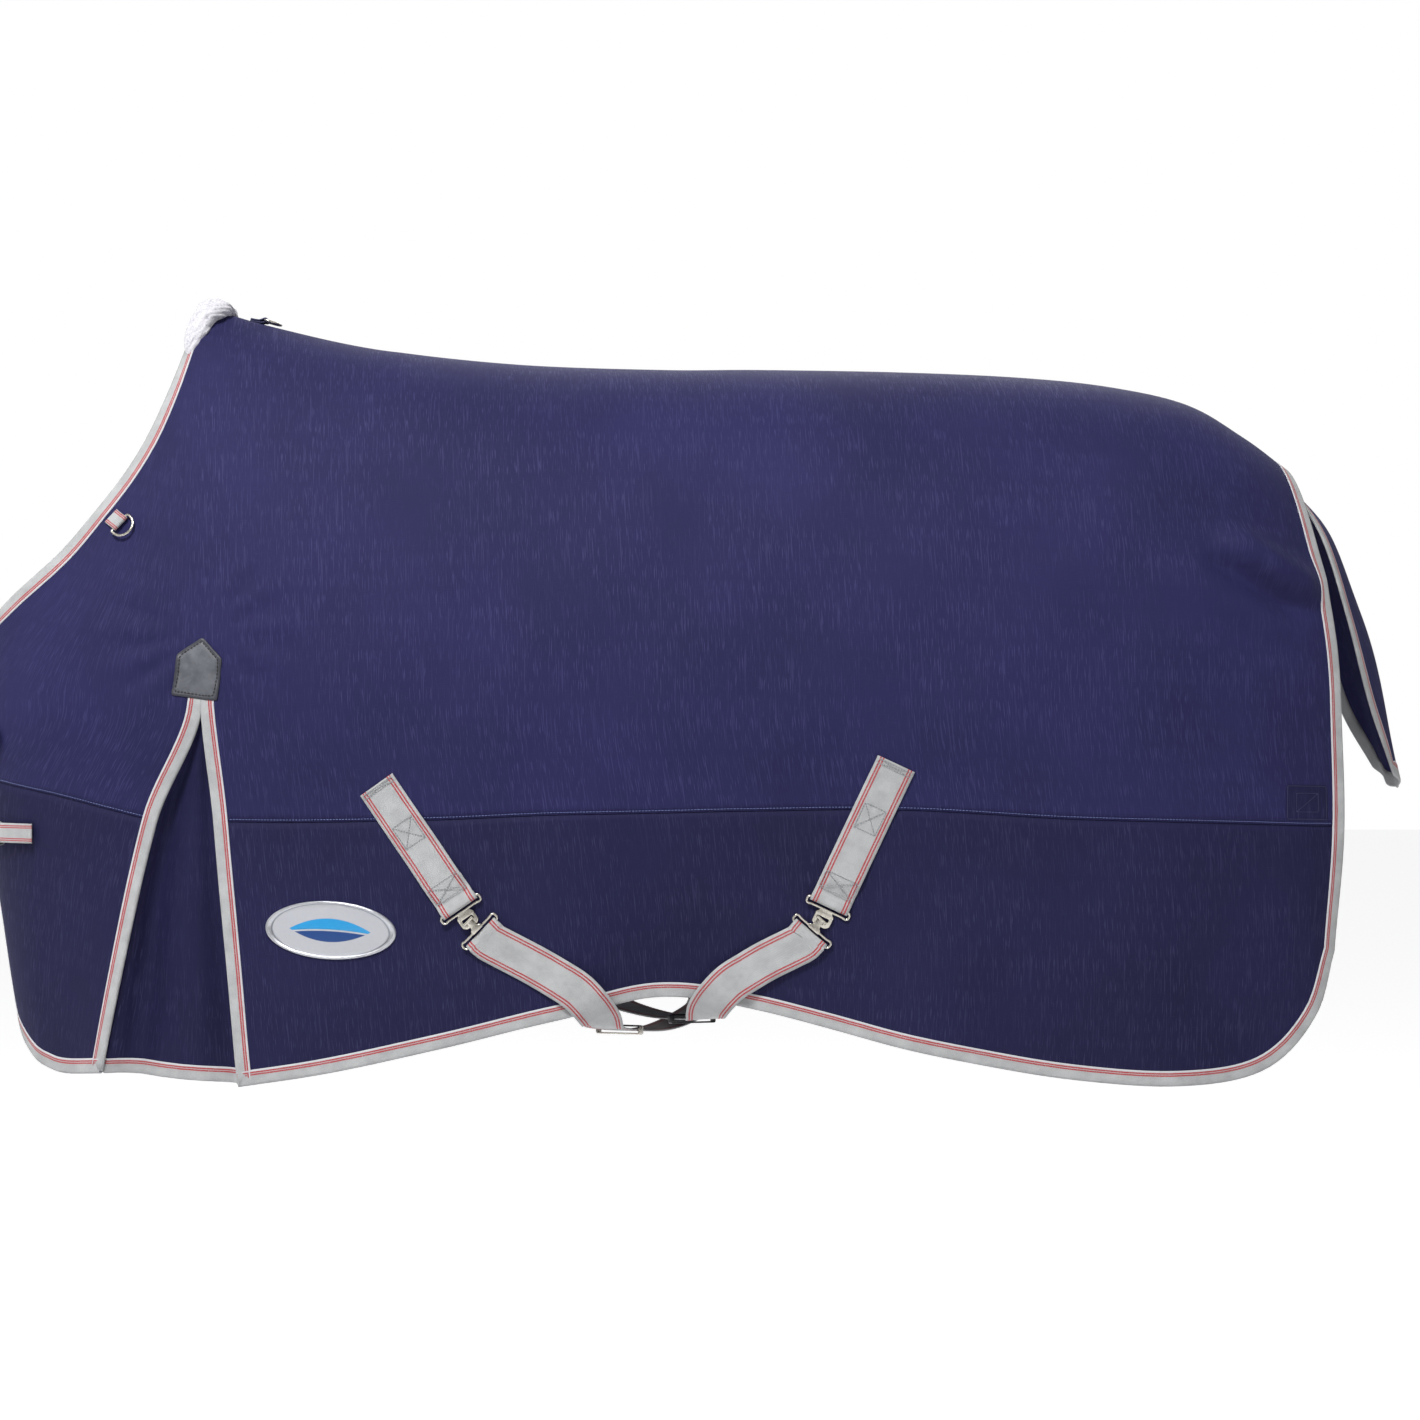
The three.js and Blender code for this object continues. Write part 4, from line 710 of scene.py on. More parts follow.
def web_path(stations, step):
    """Centre, across, normal and length at even steps, from stations of centre and across."""
    rows = np.array([[*centre, *across] for centre, across in stations])
    rows = evenly(rows, step)
    centre = rows[:, :3]
    along = unit(np.gradient(centre, axis=0))
    across = rows[:, 3:]
    across = unit(across - (across * along).sum(axis=1, keepdims=True) * along)
    return centre, across, np.cross(across, along), run_length(centre)


def webbing(name, stations, width, thickness, step):
    """A length of webbing with soft edges. Its flat place is the length and the offset across."""
    centre, across, normal, length = web_path(stations, step)
    flat = [-0.985, -0.8, -0.5, -0.17, 0.17, 0.5, 0.8, 0.985]
    shape = [(v, 0.5) for v in flat] + [(1, 0)] + [(v, -0.5) for v in flat[::-1]] + [(-1, 0)]
    sections = np.stack([
        centre + across * (v * width / 2) + normal * (h * thickness)
        for v, h in shape
    ], axis=1)
    places = np.zeros((*sections.shape[:2], 2))
    places[..., 0] = length[:, None]
    places[..., 1] = np.array([v * width / 2 for v, _ in shape])
    return lofted(name, sections, places)


def stitches(name, line, normals, pitch, length, radius):
    """A row of thread: each stitch is a short rounded tube that dips in at both ends."""
    line, normals = np.asarray(line, float), np.asarray(normals, float)
    run = run_length(line)
    at = np.arange(pitch / 2, run[-1], pitch)
    place = at_lengths(at, run, line)
    up = unit(at_lengths(at, run, normals))
    along = unit(at_lengths(at + 5e-4, run, line) - at_lengths(at - 5e-4, run, line))
    aside = np.cross(up, along)
    rings = [(-0.5, 0.45, -1.6), (-0.34, 0.95, 0.1), (0.34, 0.95, 0.1), (0.5, 0.45, -1.6)]
    turns = np.arange(5) * 2 * math.pi / 5
    points = []
    for place_along, size, height in rings:
        for turn in turns:
            points.append(
                place + along * (place_along * length)
                + aside * (math.cos(turn) * radius * size)
                + up * ((math.sin(turn) * size + height) * radius + STITCH_LIFT)
            )
    points = np.stack(points, axis=1)
    one = []
    for i in range(3):
        for k in range(5):
            one.append((i * 5 + k, i * 5 + (k + 1) % 5, i * 5 + 5 + (k + 1) % 5, i * 5 + 5 + k))
    faces = (np.arange(len(at))[:, None, None] * 20 + np.array(one)[None]).reshape(-1, 4)
    obj = from_data(name, points.reshape(-1, 3), faces)
    outward(obj)
    return obj


def joined_pieces(name, pieces):
    """Joins several objects into the first one."""
    alone(pieces[0])
    for piece in pieces[1:]:
        piece.select_set(True)
    if len(pieces) > 1:
        bpy.ops.object.join()
    pieces[0].name = pieces[0].data.name = name
    return pieces[0]


def copy_of_node(name, node, bevel):
    """A merged copy of a frame node's mesh, with its edges rounded."""
    source = frame["nodes"][node]
    obj = bpy.data.objects.new(name, source.data.copy())
    bpy.context.collection.objects.link(obj)
    obj.hide_render = obj.hide_viewport = False
    alone(obj)
    bpy.ops.object.mode_set(mode="EDIT")
    bpy.ops.mesh.select_all(action="SELECT")
    bpy.ops.mesh.remove_doubles(threshold=1e-5)
    bpy.ops.mesh.dissolve_limited(angle_limit=math.radians(1))
    bpy.ops.object.mode_set(mode="OBJECT")
    apply(obj, "BEVEL", width=bevel, segments=3, limit_method="ANGLE",
          angle_limit=math.radians(30), harden_normals=False)
    bpy.ops.object.shade_smooth_by_angle(angle=math.radians(40))
    return obj


# ---------------------------------------------------------------- node groups and materials
class Nodes:
    """Short ways to add and link shader nodes in one tree."""

    def __init__(self, tree):
        self.tree = tree

    def add(self, kind, inputs=None, **values):
        node = self.tree.nodes.new("ShaderNode" + kind)
        for name, value in values.items():
            setattr(node, name, value)
        for name, value in (inputs or {}).items():
            self.put(node.inputs[name], value)
        return node

    def put(self, socket, value):
        if isinstance(value, bpy.types.NodeSocket):
            self.tree.links.new(value, socket)
        elif isinstance(value, bpy.types.Node):
            self.tree.links.new(value.outputs[0], socket)
        else:
            socket.default_value = value

    def math(self, operation, a, b=0.0, clamp=False):
        return self.add("Math", {0: a, 1: b}, operation=operation, use_clamp=clamp).outputs[0]

    def plus(self, a, b, clamp=False):
        return self.math("ADD", a, b, clamp)

    def minus(self, a, b):
        return self.math("SUBTRACT", a, b)

    def times(self, a, b, clamp=False):
        return self.math("MULTIPLY", a, b, clamp)

    def ramp(self, value, low, high):
        """0 below low and 1 above high, smooth between them."""
        return self.add("MapRange", {"Value": value, "From Min": low, "From Max": high},
                        interpolation_type="SMOOTHSTEP").outputs[0]

    def noise(self, vector, scale, detail=2.0, rough=0.5, stretch=(1, 1, 1)):
        placed = self.add("Mapping", {"Vector": vector, "Scale": stretch})
        return self.add("TexNoise", {"Vector": placed, "Scale": scale, "Detail": detail,
                                     "Roughness": rough}).outputs[0]

    def mix(self, factor, a, b):
        node = self.add("Mix", data_type="RGBA")
        self.put(node.inputs[0], factor)
        self.put(node.inputs[6], a)
        self.put(node.inputs[7], b)
        return node.outputs[2]

    def line(self, value, centre, half, soft):
        """1 on a line of this half width round a value, with soft edges."""
        off = self.math("ABSOLUTE", self.minus(value, centre))
        return self.minus(1.0, self.ramp(off, half - soft, half + soft))


def effect(name, inputs, outputs):
    """A node group with these sockets, as its nodes helper, its input node and its output node."""
    tree = bpy.data.node_groups.new(name, "ShaderNodeTree")
    for label, kind in inputs:
        tree.interface.new_socket(label, in_out="INPUT", socket_type="NodeSocket" + kind)
    for label, kind in outputs:
        tree.interface.new_socket(label, in_out="OUTPUT", socket_type="NodeSocket" + kind)
    nodes = Nodes(tree)
    return nodes, tree.nodes.new("NodeGroupInput"), tree.nodes.new("NodeGroupOutput")


def slub_weave():
    """Plain weave with thin light slubs that run up the cloth, and soft cloudy tone."""
    n, given, out = effect("Slub weave", [("Flat", "Vector"), ("Slubs", "Float")],
                           [("Slub", "Float"), ("Tone", "Float"), ("Height", "Float")])
    flat = given.outputs["Flat"]
    fine = n.noise(flat, 1.0, 1.5, 0.55, (900, 42, 1))
    long = n.noise(flat, 1.0, 1.0, 0.5, (520, 14, 1))
    across = n.noise(flat, 1.0, 1.0, 0.5, (60, 1100, 1))
    patchy = n.noise(flat, 9.0, 2.0)
    dash = n.ramp(fine, 0.56, 0.70)
    thread = n.times(n.ramp(long, 0.57, 0.75), 0.7)
    slub = n.math("MAXIMUM", dash, thread)
    slub = n.times(slub, n.ramp(patchy, 0.22, 0.55))
    slub = n.math("MAXIMUM", slub, n.times(n.ramp(across, 0.64, 0.8), 0.35))
    n.put(out.inputs["Slub"], n.times(slub, given.outputs["Slubs"], clamp=True))
    n.put(out.inputs["Tone"], n.noise(flat, 3.2, 4.0, 0.6))
    split = n.add("SeparateXYZ", {0: flat})
    warp = n.math("SINE", n.times(split.outputs[0], 2 * math.pi / 0.0011))
    weft = n.math("SINE", n.times(split.outputs[1], 2 * math.pi / 0.0011))
    weave = n.times(n.times(warp, weft), 0.35)
    n.put(out.inputs["Height"], n.plus(weave, n.times(slub, 0.8)))
    return n.tree


def ribbed_band():
    """Cross ribs, selvages and woven lines of a tape; Across is measured from the line side."""
    n, given, out = effect(
        "Ribbed band",
        [("Along", "Float"), ("Across", "Float"), ("First", "Float"), ("Second", "Float"),
         ("Half Line", "Float")],
        [("Lines", "Float"), ("Shade", "Float"), ("Height", "Float")],
    )
    along, across = given.outputs["Along"], given.outputs["Across"]
    flat = n.add("CombineXYZ", {0: along, 1: across}).outputs[0]
    wander = n.times(n.minus(n.noise(flat, 60.0, 2.0), 0.5), 0.0007)
    moved = n.plus(across, wander)
    lines = []
    for label in ("First", "Second"):
        off = n.math("ABSOLUTE", n.minus(moved, given.outputs[label]))
        over = n.math("DIVIDE", off, given.outputs["Half Line"])
        lines.append(n.minus(1.0, n.ramp(over, 0.7, 1.35)))
    broken = n.ramp(n.noise(flat, 1.0, 1.0, 0.5, (700, 1500, 1)), 0.22, 0.5)
    both = n.times(n.math("MAXIMUM", *lines), broken)
    n.put(out.inputs["Lines"], both)
    rib = n.math("SINE", n.times(along, 2 * math.pi / 0.0014))
    cord = n.math("SINE", n.times(across, 2 * math.pi / 0.0011))
    worn = n.noise(flat, 34.0, 3.0, 0.6)
    fuzz = n.noise(flat, 900.0, 2.0, 0.7)
    shade = n.plus(n.times(worn, 0.5), n.times(fuzz, 0.5))
    n.put(out.inputs["Shade"], shade)
    height = n.plus(n.times(rib, 0.6), n.times(cord, 0.25))
    n.put(out.inputs["Height"], n.plus(height, n.times(worn, 1.2)))
    return n.tree


def handled_metal():
    """Fine scratches and dull spots on plated steel."""
    n, given, out = effect("Handled metal", [("Place", "Vector")],
                           [("Wear", "Float"), ("Roughness", "Float"), ("Height", "Float")])
    place = given.outputs["Place"]
    scratch = n.ramp(n.noise(place, 1.0, 3.0, 0.7, (4200, 380, 900)), 0.60, 0.72)
    dull = n.ramp(n.noise(place, 160.0, 4.0, 0.65), 0.40, 0.70)
    n.put(out.inputs["Wear"], n.plus(n.times(scratch, 0.4), dull, clamp=True))
    rough = n.plus(n.times(dull, 0.16), n.times(scratch, 0.10))
    n.put(out.inputs["Roughness"], n.plus(rough, 0.20))
    n.put(out.inputs["Height"], n.noise(place, 700.0, 3.0, 0.6))
    return n.tree


def placed_group(nodes, tree, inputs):
    node = nodes.tree.nodes.new("ShaderNodeGroup")
    node.node_tree = tree
    for name, value in inputs.items():
        nodes.put(node.inputs[name], value)
    return node


def new_material(name):
    material = bpy.data.materials.new(name)
    material.use_nodes = True
    nodes = Nodes(material.node_tree)
    return nodes, material.node_tree.nodes["Principled BSDF"]


def flat_place(nodes):
    return nodes.add("UVMap", uv_map="flat").outputs[0]


def bumped(nodes, shader, height, distance, strength=1.0):
    bump = nodes.add("Bump", {"Height": height, "Distance": distance, "Strength": strength})
    nodes.put(shader.inputs["Normal"], bump)


def dressed(nodes, shader, colour, mask, gain, base):
    """Links the base colour, and a roughness that follows a mask."""
    nodes.put(shader.inputs["Base Color"], colour)
    nodes.put(shader.inputs["Roughness"], nodes.plus(nodes.times(mask, gain), base))


def set_plain(shader, values):
    """Sets values that are the same all over on the shader's own sockets."""
    for label, value in values.items():
        shader.inputs[label].default_value = value


def shades(colour, *factors):
    return [tuple(min(1.0, c * f) for c in colour) + (1.0,) for f in factors]


def shell_material(name, tone=1.0):
    n, shader = new_material(name)
    weave = placed_group(n, _made["slub_weave"], {"Flat": flat_place(n), "Slubs": 1.0})
    # tone below 1 darkens the whole cloth, slubs too: painted shade for the pieces that hang lower or sit recessed
    dark, light = shades([c * tone for c in cloth_settings().navy], 0.86, 1.14)
    ground = n.mix(n.ramp(weave.outputs["Tone"], 0.3, 0.7), dark, light)
    fleck = tuple(0.022 + 2.2 * c * tone for c in cloth_settings().navy) + (1.0,)
    colour = n.mix(n.times(weave.outputs["Slub"], 0.40), ground, fleck)
    dressed(n, shader, colour, weave.outputs["Slub"], -0.12, 0.74)
    bumped(n, shader, weave.outputs["Height"], 0.00022, 0.55)
    set_plain(shader, {"Specular IOR Level": 0.16, "Sheen Weight": 0.025, "Sheen Roughness": 0.45,
                       "Sheen Tint": (0.55, 0.58, 0.9, 1)})


def lining_material():
    n, shader = new_material("Smooth navy lining")
    weave = placed_group(n, _made["slub_weave"], {"Flat": flat_place(n), "Slubs": 0.15})
    dark, light = shades(cloth_settings().lining, 0.85, 1.2)
    colour = n.mix(n.ramp(weave.outputs["Tone"], 0.3, 0.7), dark, light)
    dressed(n, shader, colour, weave.outputs["Tone"], 0.2, 0.36)
    bumped(n, shader, weave.outputs["Height"], 0.00015, 0.4)


def band_material(name, first, second, half_line, pale=0.0, half_width=0.0, ground=None):
    """Tape or webbing. Across is taken from one edge, or from both when half_width is given."""
    n, shader = new_material(name)
    split = n.add("SeparateXYZ", {0: flat_place(n)})
    along, offset = split.outputs[0], split.outputs[1]
    if half_width:
        offset = n.minus(half_width, n.math("ABSOLUTE", offset))
    band = placed_group(n, _made["ribbed_band"], {
        "Along": along, "Across": offset, "First": first, "Second": second,
        "Half Line": half_line,
    })
    plain = ground or tuple(trim_settings().grey)
    dark, light = shades(plain, 0.80, 1.12)
    ground = n.mix(n.ramp(band.outputs["Shade"], 0.36, 0.66), dark, light)
    if pale:
        edge = n.minus(1.0, n.ramp(offset, pale * 0.7, pale * 1.1))
        ground = n.mix(n.times(edge, 0.7), ground, (0.56, 0.56, 0.59, 1))
    # Painted shade: a darker stripe on each cross rib stands in for the shade in the grooves between the ribs
    rib = n.math("SINE", n.times(along, 2 * math.pi / 0.0014))
    groove = n.times(n.ramp(rib, 0.2, 1.0), 0.22)
    ground = n.mix(groove, ground, shades(plain, 0.52)[0])
    red = tuple(trim_settings().red) + (1.0,)
    line = n.times(band.outputs["Lines"], 0.97)
    dressed(n, shader, n.mix(line, ground, red), band.outputs["Shade"], 0.2, 0.62)
    bumped(n, shader, band.outputs["Height"], 0.00022, 0.8)
    set_plain(shader, {"Specular IOR Level": 0.35, "Sheen Weight": 0.06})


def leather_material():
    n, shader = new_material("Grained patch leather")
    place = n.add("TexCoord").outputs["Object"]
    grain = n.add("TexVoronoi", {"Vector": place, "Scale": 900.0}).outputs["Distance"]
    cloud = n.noise(place, 60.0, 4.0, 0.6)
    split = n.add("SeparateXYZ", {0: flat_place(n)})
    rim = n.ramp(split.outputs[0], 0.80, 0.97)  # 0 in the middle of the patch, 1 at its edge
    base = n.mix(n.ramp(cloud, 0.3, 0.7), (0.060, 0.064, 0.076, 1), (0.096, 0.101, 0.117, 1))
    dressed(n, shader, n.mix(rim, base, (0.020, 0.021, 0.030, 1)), cloud, 0.25, 0.36)
    bumped(n, shader, n.plus(grain, n.times(cloud, 1.5)), 0.00018, 0.6)


def fleece_material():
    n, shader = new_material("White fleece")
    place = n.add("TexCoord").outputs["Object"]
    curl = n.noise(place, 420.0, 4.0, 0.65)
    lump = n.noise(place, 70.0, 3.0, 0.55)
    # Painted shade and light: the colour follows the bump, darker where the curl noise is low, as painted shade in the
    # hollows, and lighter on the raised lumps, as a painted highlight on the tips
    hollow_shade = n.mix(n.ramp(curl, 0.3, 0.62), (0.30, 0.29, 0.34, 1), (0.58, 0.57, 0.60, 1))
    tip_highlight = n.times(n.ramp(lump, 0.35, 0.6), 0.5)
    dressed(n, shader, n.mix(tip_highlight, hollow_shade, (0.64, 0.63, 0.66, 1)), curl, 0.1, 0.86)
    bumped(n, shader, n.plus(curl, lump), 0.0016, 0.9)
    set_plain(shader, {"Sheen Weight": 0.2, "Subsurface Weight": 0.12,
                       "Subsurface Radius": (0.004, 0.004, 0.004)})


def metal_material(name, colour, black=False):
    n, shader = new_material(name)
    place = n.add("TexCoord").outputs["Object"]
    worn = placed_group(n, _made["handled_metal"], {"Place": place})
    plain, dull = shades(colour, 1.0, 2.6 if black else 0.72)
    colour = n.mix(n.times(worn.outputs["Wear"], 0.35), plain, dull)
    dressed(n, shader, colour, worn.outputs["Roughness"], 1.0, 0.12 if black else 0.02)
    bumped(n, shader, worn.outputs["Height"], 0.00006, 0.5)
    set_plain(shader, {"Metallic": 0.35 if black else 1.0})


def thread_material(name, colour):
    n, shader = new_material(name)
    place = n.add("TexCoord").outputs["Object"]
    twist = n.noise(place, 2400.0, 2.0, 0.6)
    dark, light = shades(colour, 0.75, 1.2)
    dressed(n, shader, n.mix(twist, dark, light), twist, 0.2, 0.55)
    bumped(n, shader, twist, 0.0001, 0.5)


def badge_material():
    """Satin silver rim, pale field and a plain two-tone blue leaf. The flat place is in metres."""
    n, shader = new_material("Badge enamel")
    split = n.add("SeparateXYZ", {0: flat_place(n)})
    x, y = (n.math("DIVIDE", split.outputs[k], BADGE_HALF[k]) for k in range(2))
    square = lambda v: n.times(v, v)
    reach = n.math("SQRT", n.plus(square(x), square(y)))
    rim = n.ramp(reach, 0.875, 0.89)
    groove = n.times(rim, n.minus(1.0, n.ramp(reach, 0.905, 0.92)))
    along, rise = n.math("DIVIDE", x, 0.62), n.math("DIVIDE", y, 0.40)
    leaf = n.plus(square(along), n.math("ABSOLUTE", rise))
    inside = n.minus(1.0, n.ramp(leaf, 0.97, 1.03))
    half = n.ramp(n.minus(y, n.times(square(x), -0.25)), 0.0, 0.05)
    blues = n.mix(half, (0.010, 0.045, 0.17, 1), (0.015, 0.24, 0.50, 1))
    vein = n.line(n.plus(y, n.times(square(x), 0.25)), 0.0, 0.028, 0.012)
    speck = n.noise(n.add("TexCoord").outputs["Object"], 300.0, 3.0)
    field = n.mix(n.times(speck, 0.4), (0.355, 0.362, 0.39, 1), (0.44, 0.447, 0.475, 1))
    drawn = n.mix(inside, field, n.mix(vein, blues, field))
    silver = n.mix(speck, (0.42, 0.43, 0.46, 1), (0.56, 0.57, 0.60, 1))
    colour = n.mix(rim, drawn, silver)
    dressed(n, shader, n.mix(n.times(groove, 0.7), colour, (0.20, 0.21, 0.24, 1)), speck, 0.10, 0.26)
    n.put(shader.inputs["Metallic"], n.times(rim, 0.85))
    bumped(n, shader, n.minus(speck, n.times(groove, 3.0)), 0.00012, 0.5)


# ---------------------------------------------------------------- cloth pieces
def panel_of_cloth(name, keep, offset, thickness, tuck=None):
    """The quads of the body cloth that a test keeps, lifted off it and given a thickness."""
    cloth = body()
    chosen = keep(cloth.labels)
    quads = cloth.quads[chosen]
    used = np.unique(quads)
    lookup = np.full(len(cloth.points), -1)
    lookup[used] = np.arange(len(used))
    lift = np.full(len(used), offset)
    if tuck is not None:
        lift = lift - tuck(used)
    points = cloth.points[used] + cloth.normals[used] * lift[:, None]
    obj = from_data(name, points, lookup[quads], cloth.places[chosen])
    apply(obj, "SOLIDIFY", thickness=thickness, offset=-1, use_even_offset=False)
    return obj


def cut_area(obj):
    """Flat area of a piece with two faces: half of its whole surface."""
    return sum(face.area for face in obj.data.polygons) / 2


def seam_tuck(side):
    """The lower panels slip under the upper one at the side seam."""
    cloth = body()
    rows = np.full(len(cloth.points), -1)
    for name in ("front", "main"):
        ids = cloth.ids[side, name]
        rows[ids] = np.arange(ids.shape[1])[None, :]

    def depth(used):
        below = (SEAM_ROW - rows[used]).astype(float)
        return 0.0007 * np.exp(-(np.clip(below, 0, 9) / 1.3))

    return depth


def has(*words):
    return lambda labels: np.array([all(word in label.split() for word in words) for label in labels])


class RUG_OT_shell(bpy.types.Operator):
    """Outer cloth: the upper shell, the lower panels and the topstitching along the seam"""

    bl_idname = "rug.shell"
    bl_label = "Shell panels"

    def execute(self, context):
        thick = SHELL_OUT - SHELL_IN
        upper = panel_of_cloth("shell_upper_cloth", has("upper"), SHELL_OUT, thick)
        finish_piece(upper, "rug", "navy_shell", "Navy slub cloth", "shell_upper")
        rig.sheet(upper, flat=(1.95, 1.42), held="draped", area=cut_area(upper),
                 rests_on=["lining_cloth"])
        for side in ("left", "right"):
            for where, panel, flat in (
                ("main", "side_panel", (1.52, 0.36)),
                ("front", "chest_panel", (0.38, 0.40)),
            ):
                lower = panel_of_cloth(f"{panel}_cloth_{side}", has(side, where, "lower"),
                                       SHELL_OUT, thick, seam_tuck(side))
                finish_piece(lower, "rug", "navy_shell", "Navy slub cloth, painted shade", f"{panel}_{side}")
                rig.sheet(lower, flat=flat, held="hung", area=cut_area(lower),
                         rests_on=["shell_upper_cloth"])
            self.topstitch(side)
        return {"FINISHED"}

    @staticmethod
    def topstitch(side):
        cloth = body()
        rows = []
        for where in ("front", "main"):
            ids = cloth.ids[side, where]
            low, high = ids[:, SEAM_ROW], ids[:, SEAM_ROW + 1]
            edge, above = cloth.points[low], cloth.points[high]
            line = edge + unit(above - edge) * 0.0028
            normal = cloth.normals[low]
            line, normal = line[2:-2], normal[2:-2]
            rows.append(stitches(f"seam_{where}_{side}", line + normal * SHELL_OUT, normal,
                                 pitch=0.0040, length=0.0029, radius=0.00034))
        both = joined_pieces(f"side_seam_stitching_{side}", rows)
        finish_piece(both, "rug", "navy_shell", "Blue topstitch thread")


class RUG_OT_lining(bpy.types.Operator):
    """Smooth inner cloth, under the whole shell"""

    bl_idname = "rug.lining"
    bl_label = "Lining"

    def execute(self, context):
        cloth = panel_of_cloth("lining_cloth", lambda labels: np.ones(len(labels), bool),
                               LINING_OUT, LINING_OUT)
        finish_piece(cloth, "rug", "lining", "Smooth navy lining", "lining")
        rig.sheet(cloth, flat=(1.95, 2.05), held="draped", area=cut_area(cloth))
        return {"FINISHED"}


# ---------------------------------------------------------------- binding tape
def edge_line(surface, chain):
    """Points, normals and inward headings along a chain of point numbers on a border."""
    points, normals = surface.points[chain], surface.normals[chain]
    along = np.gradient(points, axis=0)
    for _ in range(2):
        along[1:-1] = (along[:-2] + 2 * along[1:-1] + along[2:]) / 4
    inward = unit(np.cross(normals, unit(along)))
    return points, normals, inward


def binding(name, surface, chain, inner, outer, trim_ends=0.0):
    """Tape folded over an edge: its outer face, the fold, and its inner face, as one skin."""
    width = trim_settings().tape_width
    points, normals, inward = edge_line(surface, chain)
    few = slice(None, None, max(1, len(chain) // 12))
    beside = [surface.quads[(surface.quads == k).any(axis=1)] for k in chain[few]]
    middle = np.array([surface.points[quads].mean(axis=(0, 1)) for quads in beside])
    if ((middle - points[few]) * inward[few]).sum() < 0:
        inward = -inward
    length = run_length(points)
    if trim_ends:
        keep = np.linspace(trim_ends, length[-1] - trim_ends, len(points))
        points = at_lengths(keep, length, points)
        normals, inward = (unit(at_lengths(keep, length, v)) for v in (normals, inward))
        length = keep
    proud = 0.00095
    section = [  # share of the width inwards from the edge, and height
        (1.0, outer - 0.0002), (1.0, outer + proud * 0.75), (0.93, outer + proud),
        (0.66, outer + proud * 0.9), (0.36, outer + proud), (0.10, outer + proud * 1.15),
        (-0.045, outer + proud * 0.7),
        (-0.105, (inner + outer) / 2), (-0.045, inner - proud * 0.7), (0.10, inner - proud * 1.15),
        (0.5, inner - proud * 0.9), (1.0, inner - proud), (1.0, inner + 0.0002),
    ]
    inset = {}
    for share in {s for s, _ in section if s > 0}:
        spots = [surface.nearest(p + i * (share * width)) for p, i in zip(points, inward)]
        inset[share] = (np.array([s[0] for s in spots]), np.array([s[1] for s in spots]))
    sections, places = [], []
    for share, height in section:
        base, normal = inset.get(share, (points + inward * (share * width), normals))
        sections.append(base + normal * height)
        outside = height > (inner + outer) / 2
        across = (1 - share) * width if outside else (1 + share) * width + 0.004
        places.append(np.stack([length, np.full(len(length), across)], axis=1))
    return lofted(name, np.stack(sections, axis=1), np.stack(places, axis=1))


class RUG_OT_bindings(bpy.types.Operator):
    """Grey tape over every raw edge of the rug and of its gussets"""

    bl_idname = "rug.bindings"
    bl_label = "Binding tape"

    def execute(self, context):
        cloth = body()
        left, right = cloth.ids["left", "front"], cloth.ids["right", "front"]
        spine = cloth.ids["spine"]
        neck = np.concatenate([left[:, TOP_ROW], spine[0, 1:-1], right[::-1, TOP_ROW]])
        self.sew("neck_tape", neck, "neck_binding")
        for side in ("left", "right"):
            front, main = cloth.ids[side, "front"], cloth.ids[side, "main"]
            self.sew(f"front_tape_{side}", np.concatenate([front[0, ::-1], front[1:, 0]]),
                     f"front_binding_{side}")
            for end, chain in (("front", front[-1]), ("rear", main[0])):
                self.sew(f"gusset_{end}_tape_{side}", chain[:APEX_ROW + 1],
                         f"gusset_{end}_binding_{side}", trim_ends=0.002)
            chain = np.concatenate([main[:, 0], main[-1, 1:]])
            if side == "left":
                chain = np.concatenate([chain, spine[-1, 1:]])
            self.sew(f"hem_tape_{side}", chain, f"hem_binding_{side}")
        return {"FINISHED"}

    @staticmethod
    def sew(name, chain, node, trim_ends=0.0):
        tape = binding(name, body(), chain, 0.0, SHELL_OUT, trim_ends=trim_ends)
        finish_piece(tape, "rug", "tape", "Grey binding tape", node)


# ---------------------------------------------------------------- shoulder gussets
PLEAT = [(0, 0), (0.06, 0.8), (0.16, 1), (0.34, 0.62), (0.52, 0.42), (0.66, 0.55), (0.82, 1),
         (0.94, 0.85), (1, 0)]


def gusset_surface(side):
    """The insert behind the shoulder opening, with a soft double pleat."""
    cloth = body()
    front, rear = cloth.ids[side, "front"][-1], cloth.ids[side, "main"][0]
    edges = [edge_line(cloth, ids[:APEX_ROW + 1]) for ids in (front, rear)]
    rows = []
    shares = np.linspace(0, 1, 25)
    depth_at = np.interp(shares, *np.array(PLEAT, float).T)
    under = 0.0044
    for k in range(APEX_ROW + 1):
        ends, normals, flanks = [], [], []
        for (points, normal, inward), sign in zip(edges, (-1, 1)):
            away = inward[k] if inward[k][0] * sign > 0 else -inward[k]
            place, facing = cloth.nearest(points[k] + away * 0.014)
            flanks.append(place - facing * (under + 0.001))
            ends.append(points[k] - normal[k] * under)
            normals.append(normal[k])
        facing = unit(normals[0] + normals[1])
        gap = np.linalg.norm(ends[1] - ends[0])
        depth = min(cloth_settings().pleat, gap * 0.22)
        line = [ends[0] * (1 - t) + ends[1] * t - facing * depth * d for t, d in zip(shares, depth_at)]
        rows.append([flanks[0], *line, flanks[1]])
    grid = np.array(rows)
    grid[-1] = grid[-1] * 0.999 + grid[-1].mean(axis=0) * 0.001
    n, m = grid.shape[:2]
    ids = np.arange(n * m).reshape(n, m)
    along = np.linspace(0, 0.2, m)[None, :, None] * np.ones((n, 1, 1))
    up = run_length(grid[:, m // 2])[:, None, None] * np.ones((1, m, 1))
    block, where = BodyCloth.blocks(ids, np.concatenate([along, up], axis=2))
    flat = grid.reshape(-1, 3)
    outside = -1 if side == "left" else 1
    if vertex_normals(flat, block)[:, 1].mean() * outside < 0:
        block, where = block[:, ::-1], where[:, ::-1]
    made = Surface(flat, block)
    made.places, made.ids = where, ids
    return made


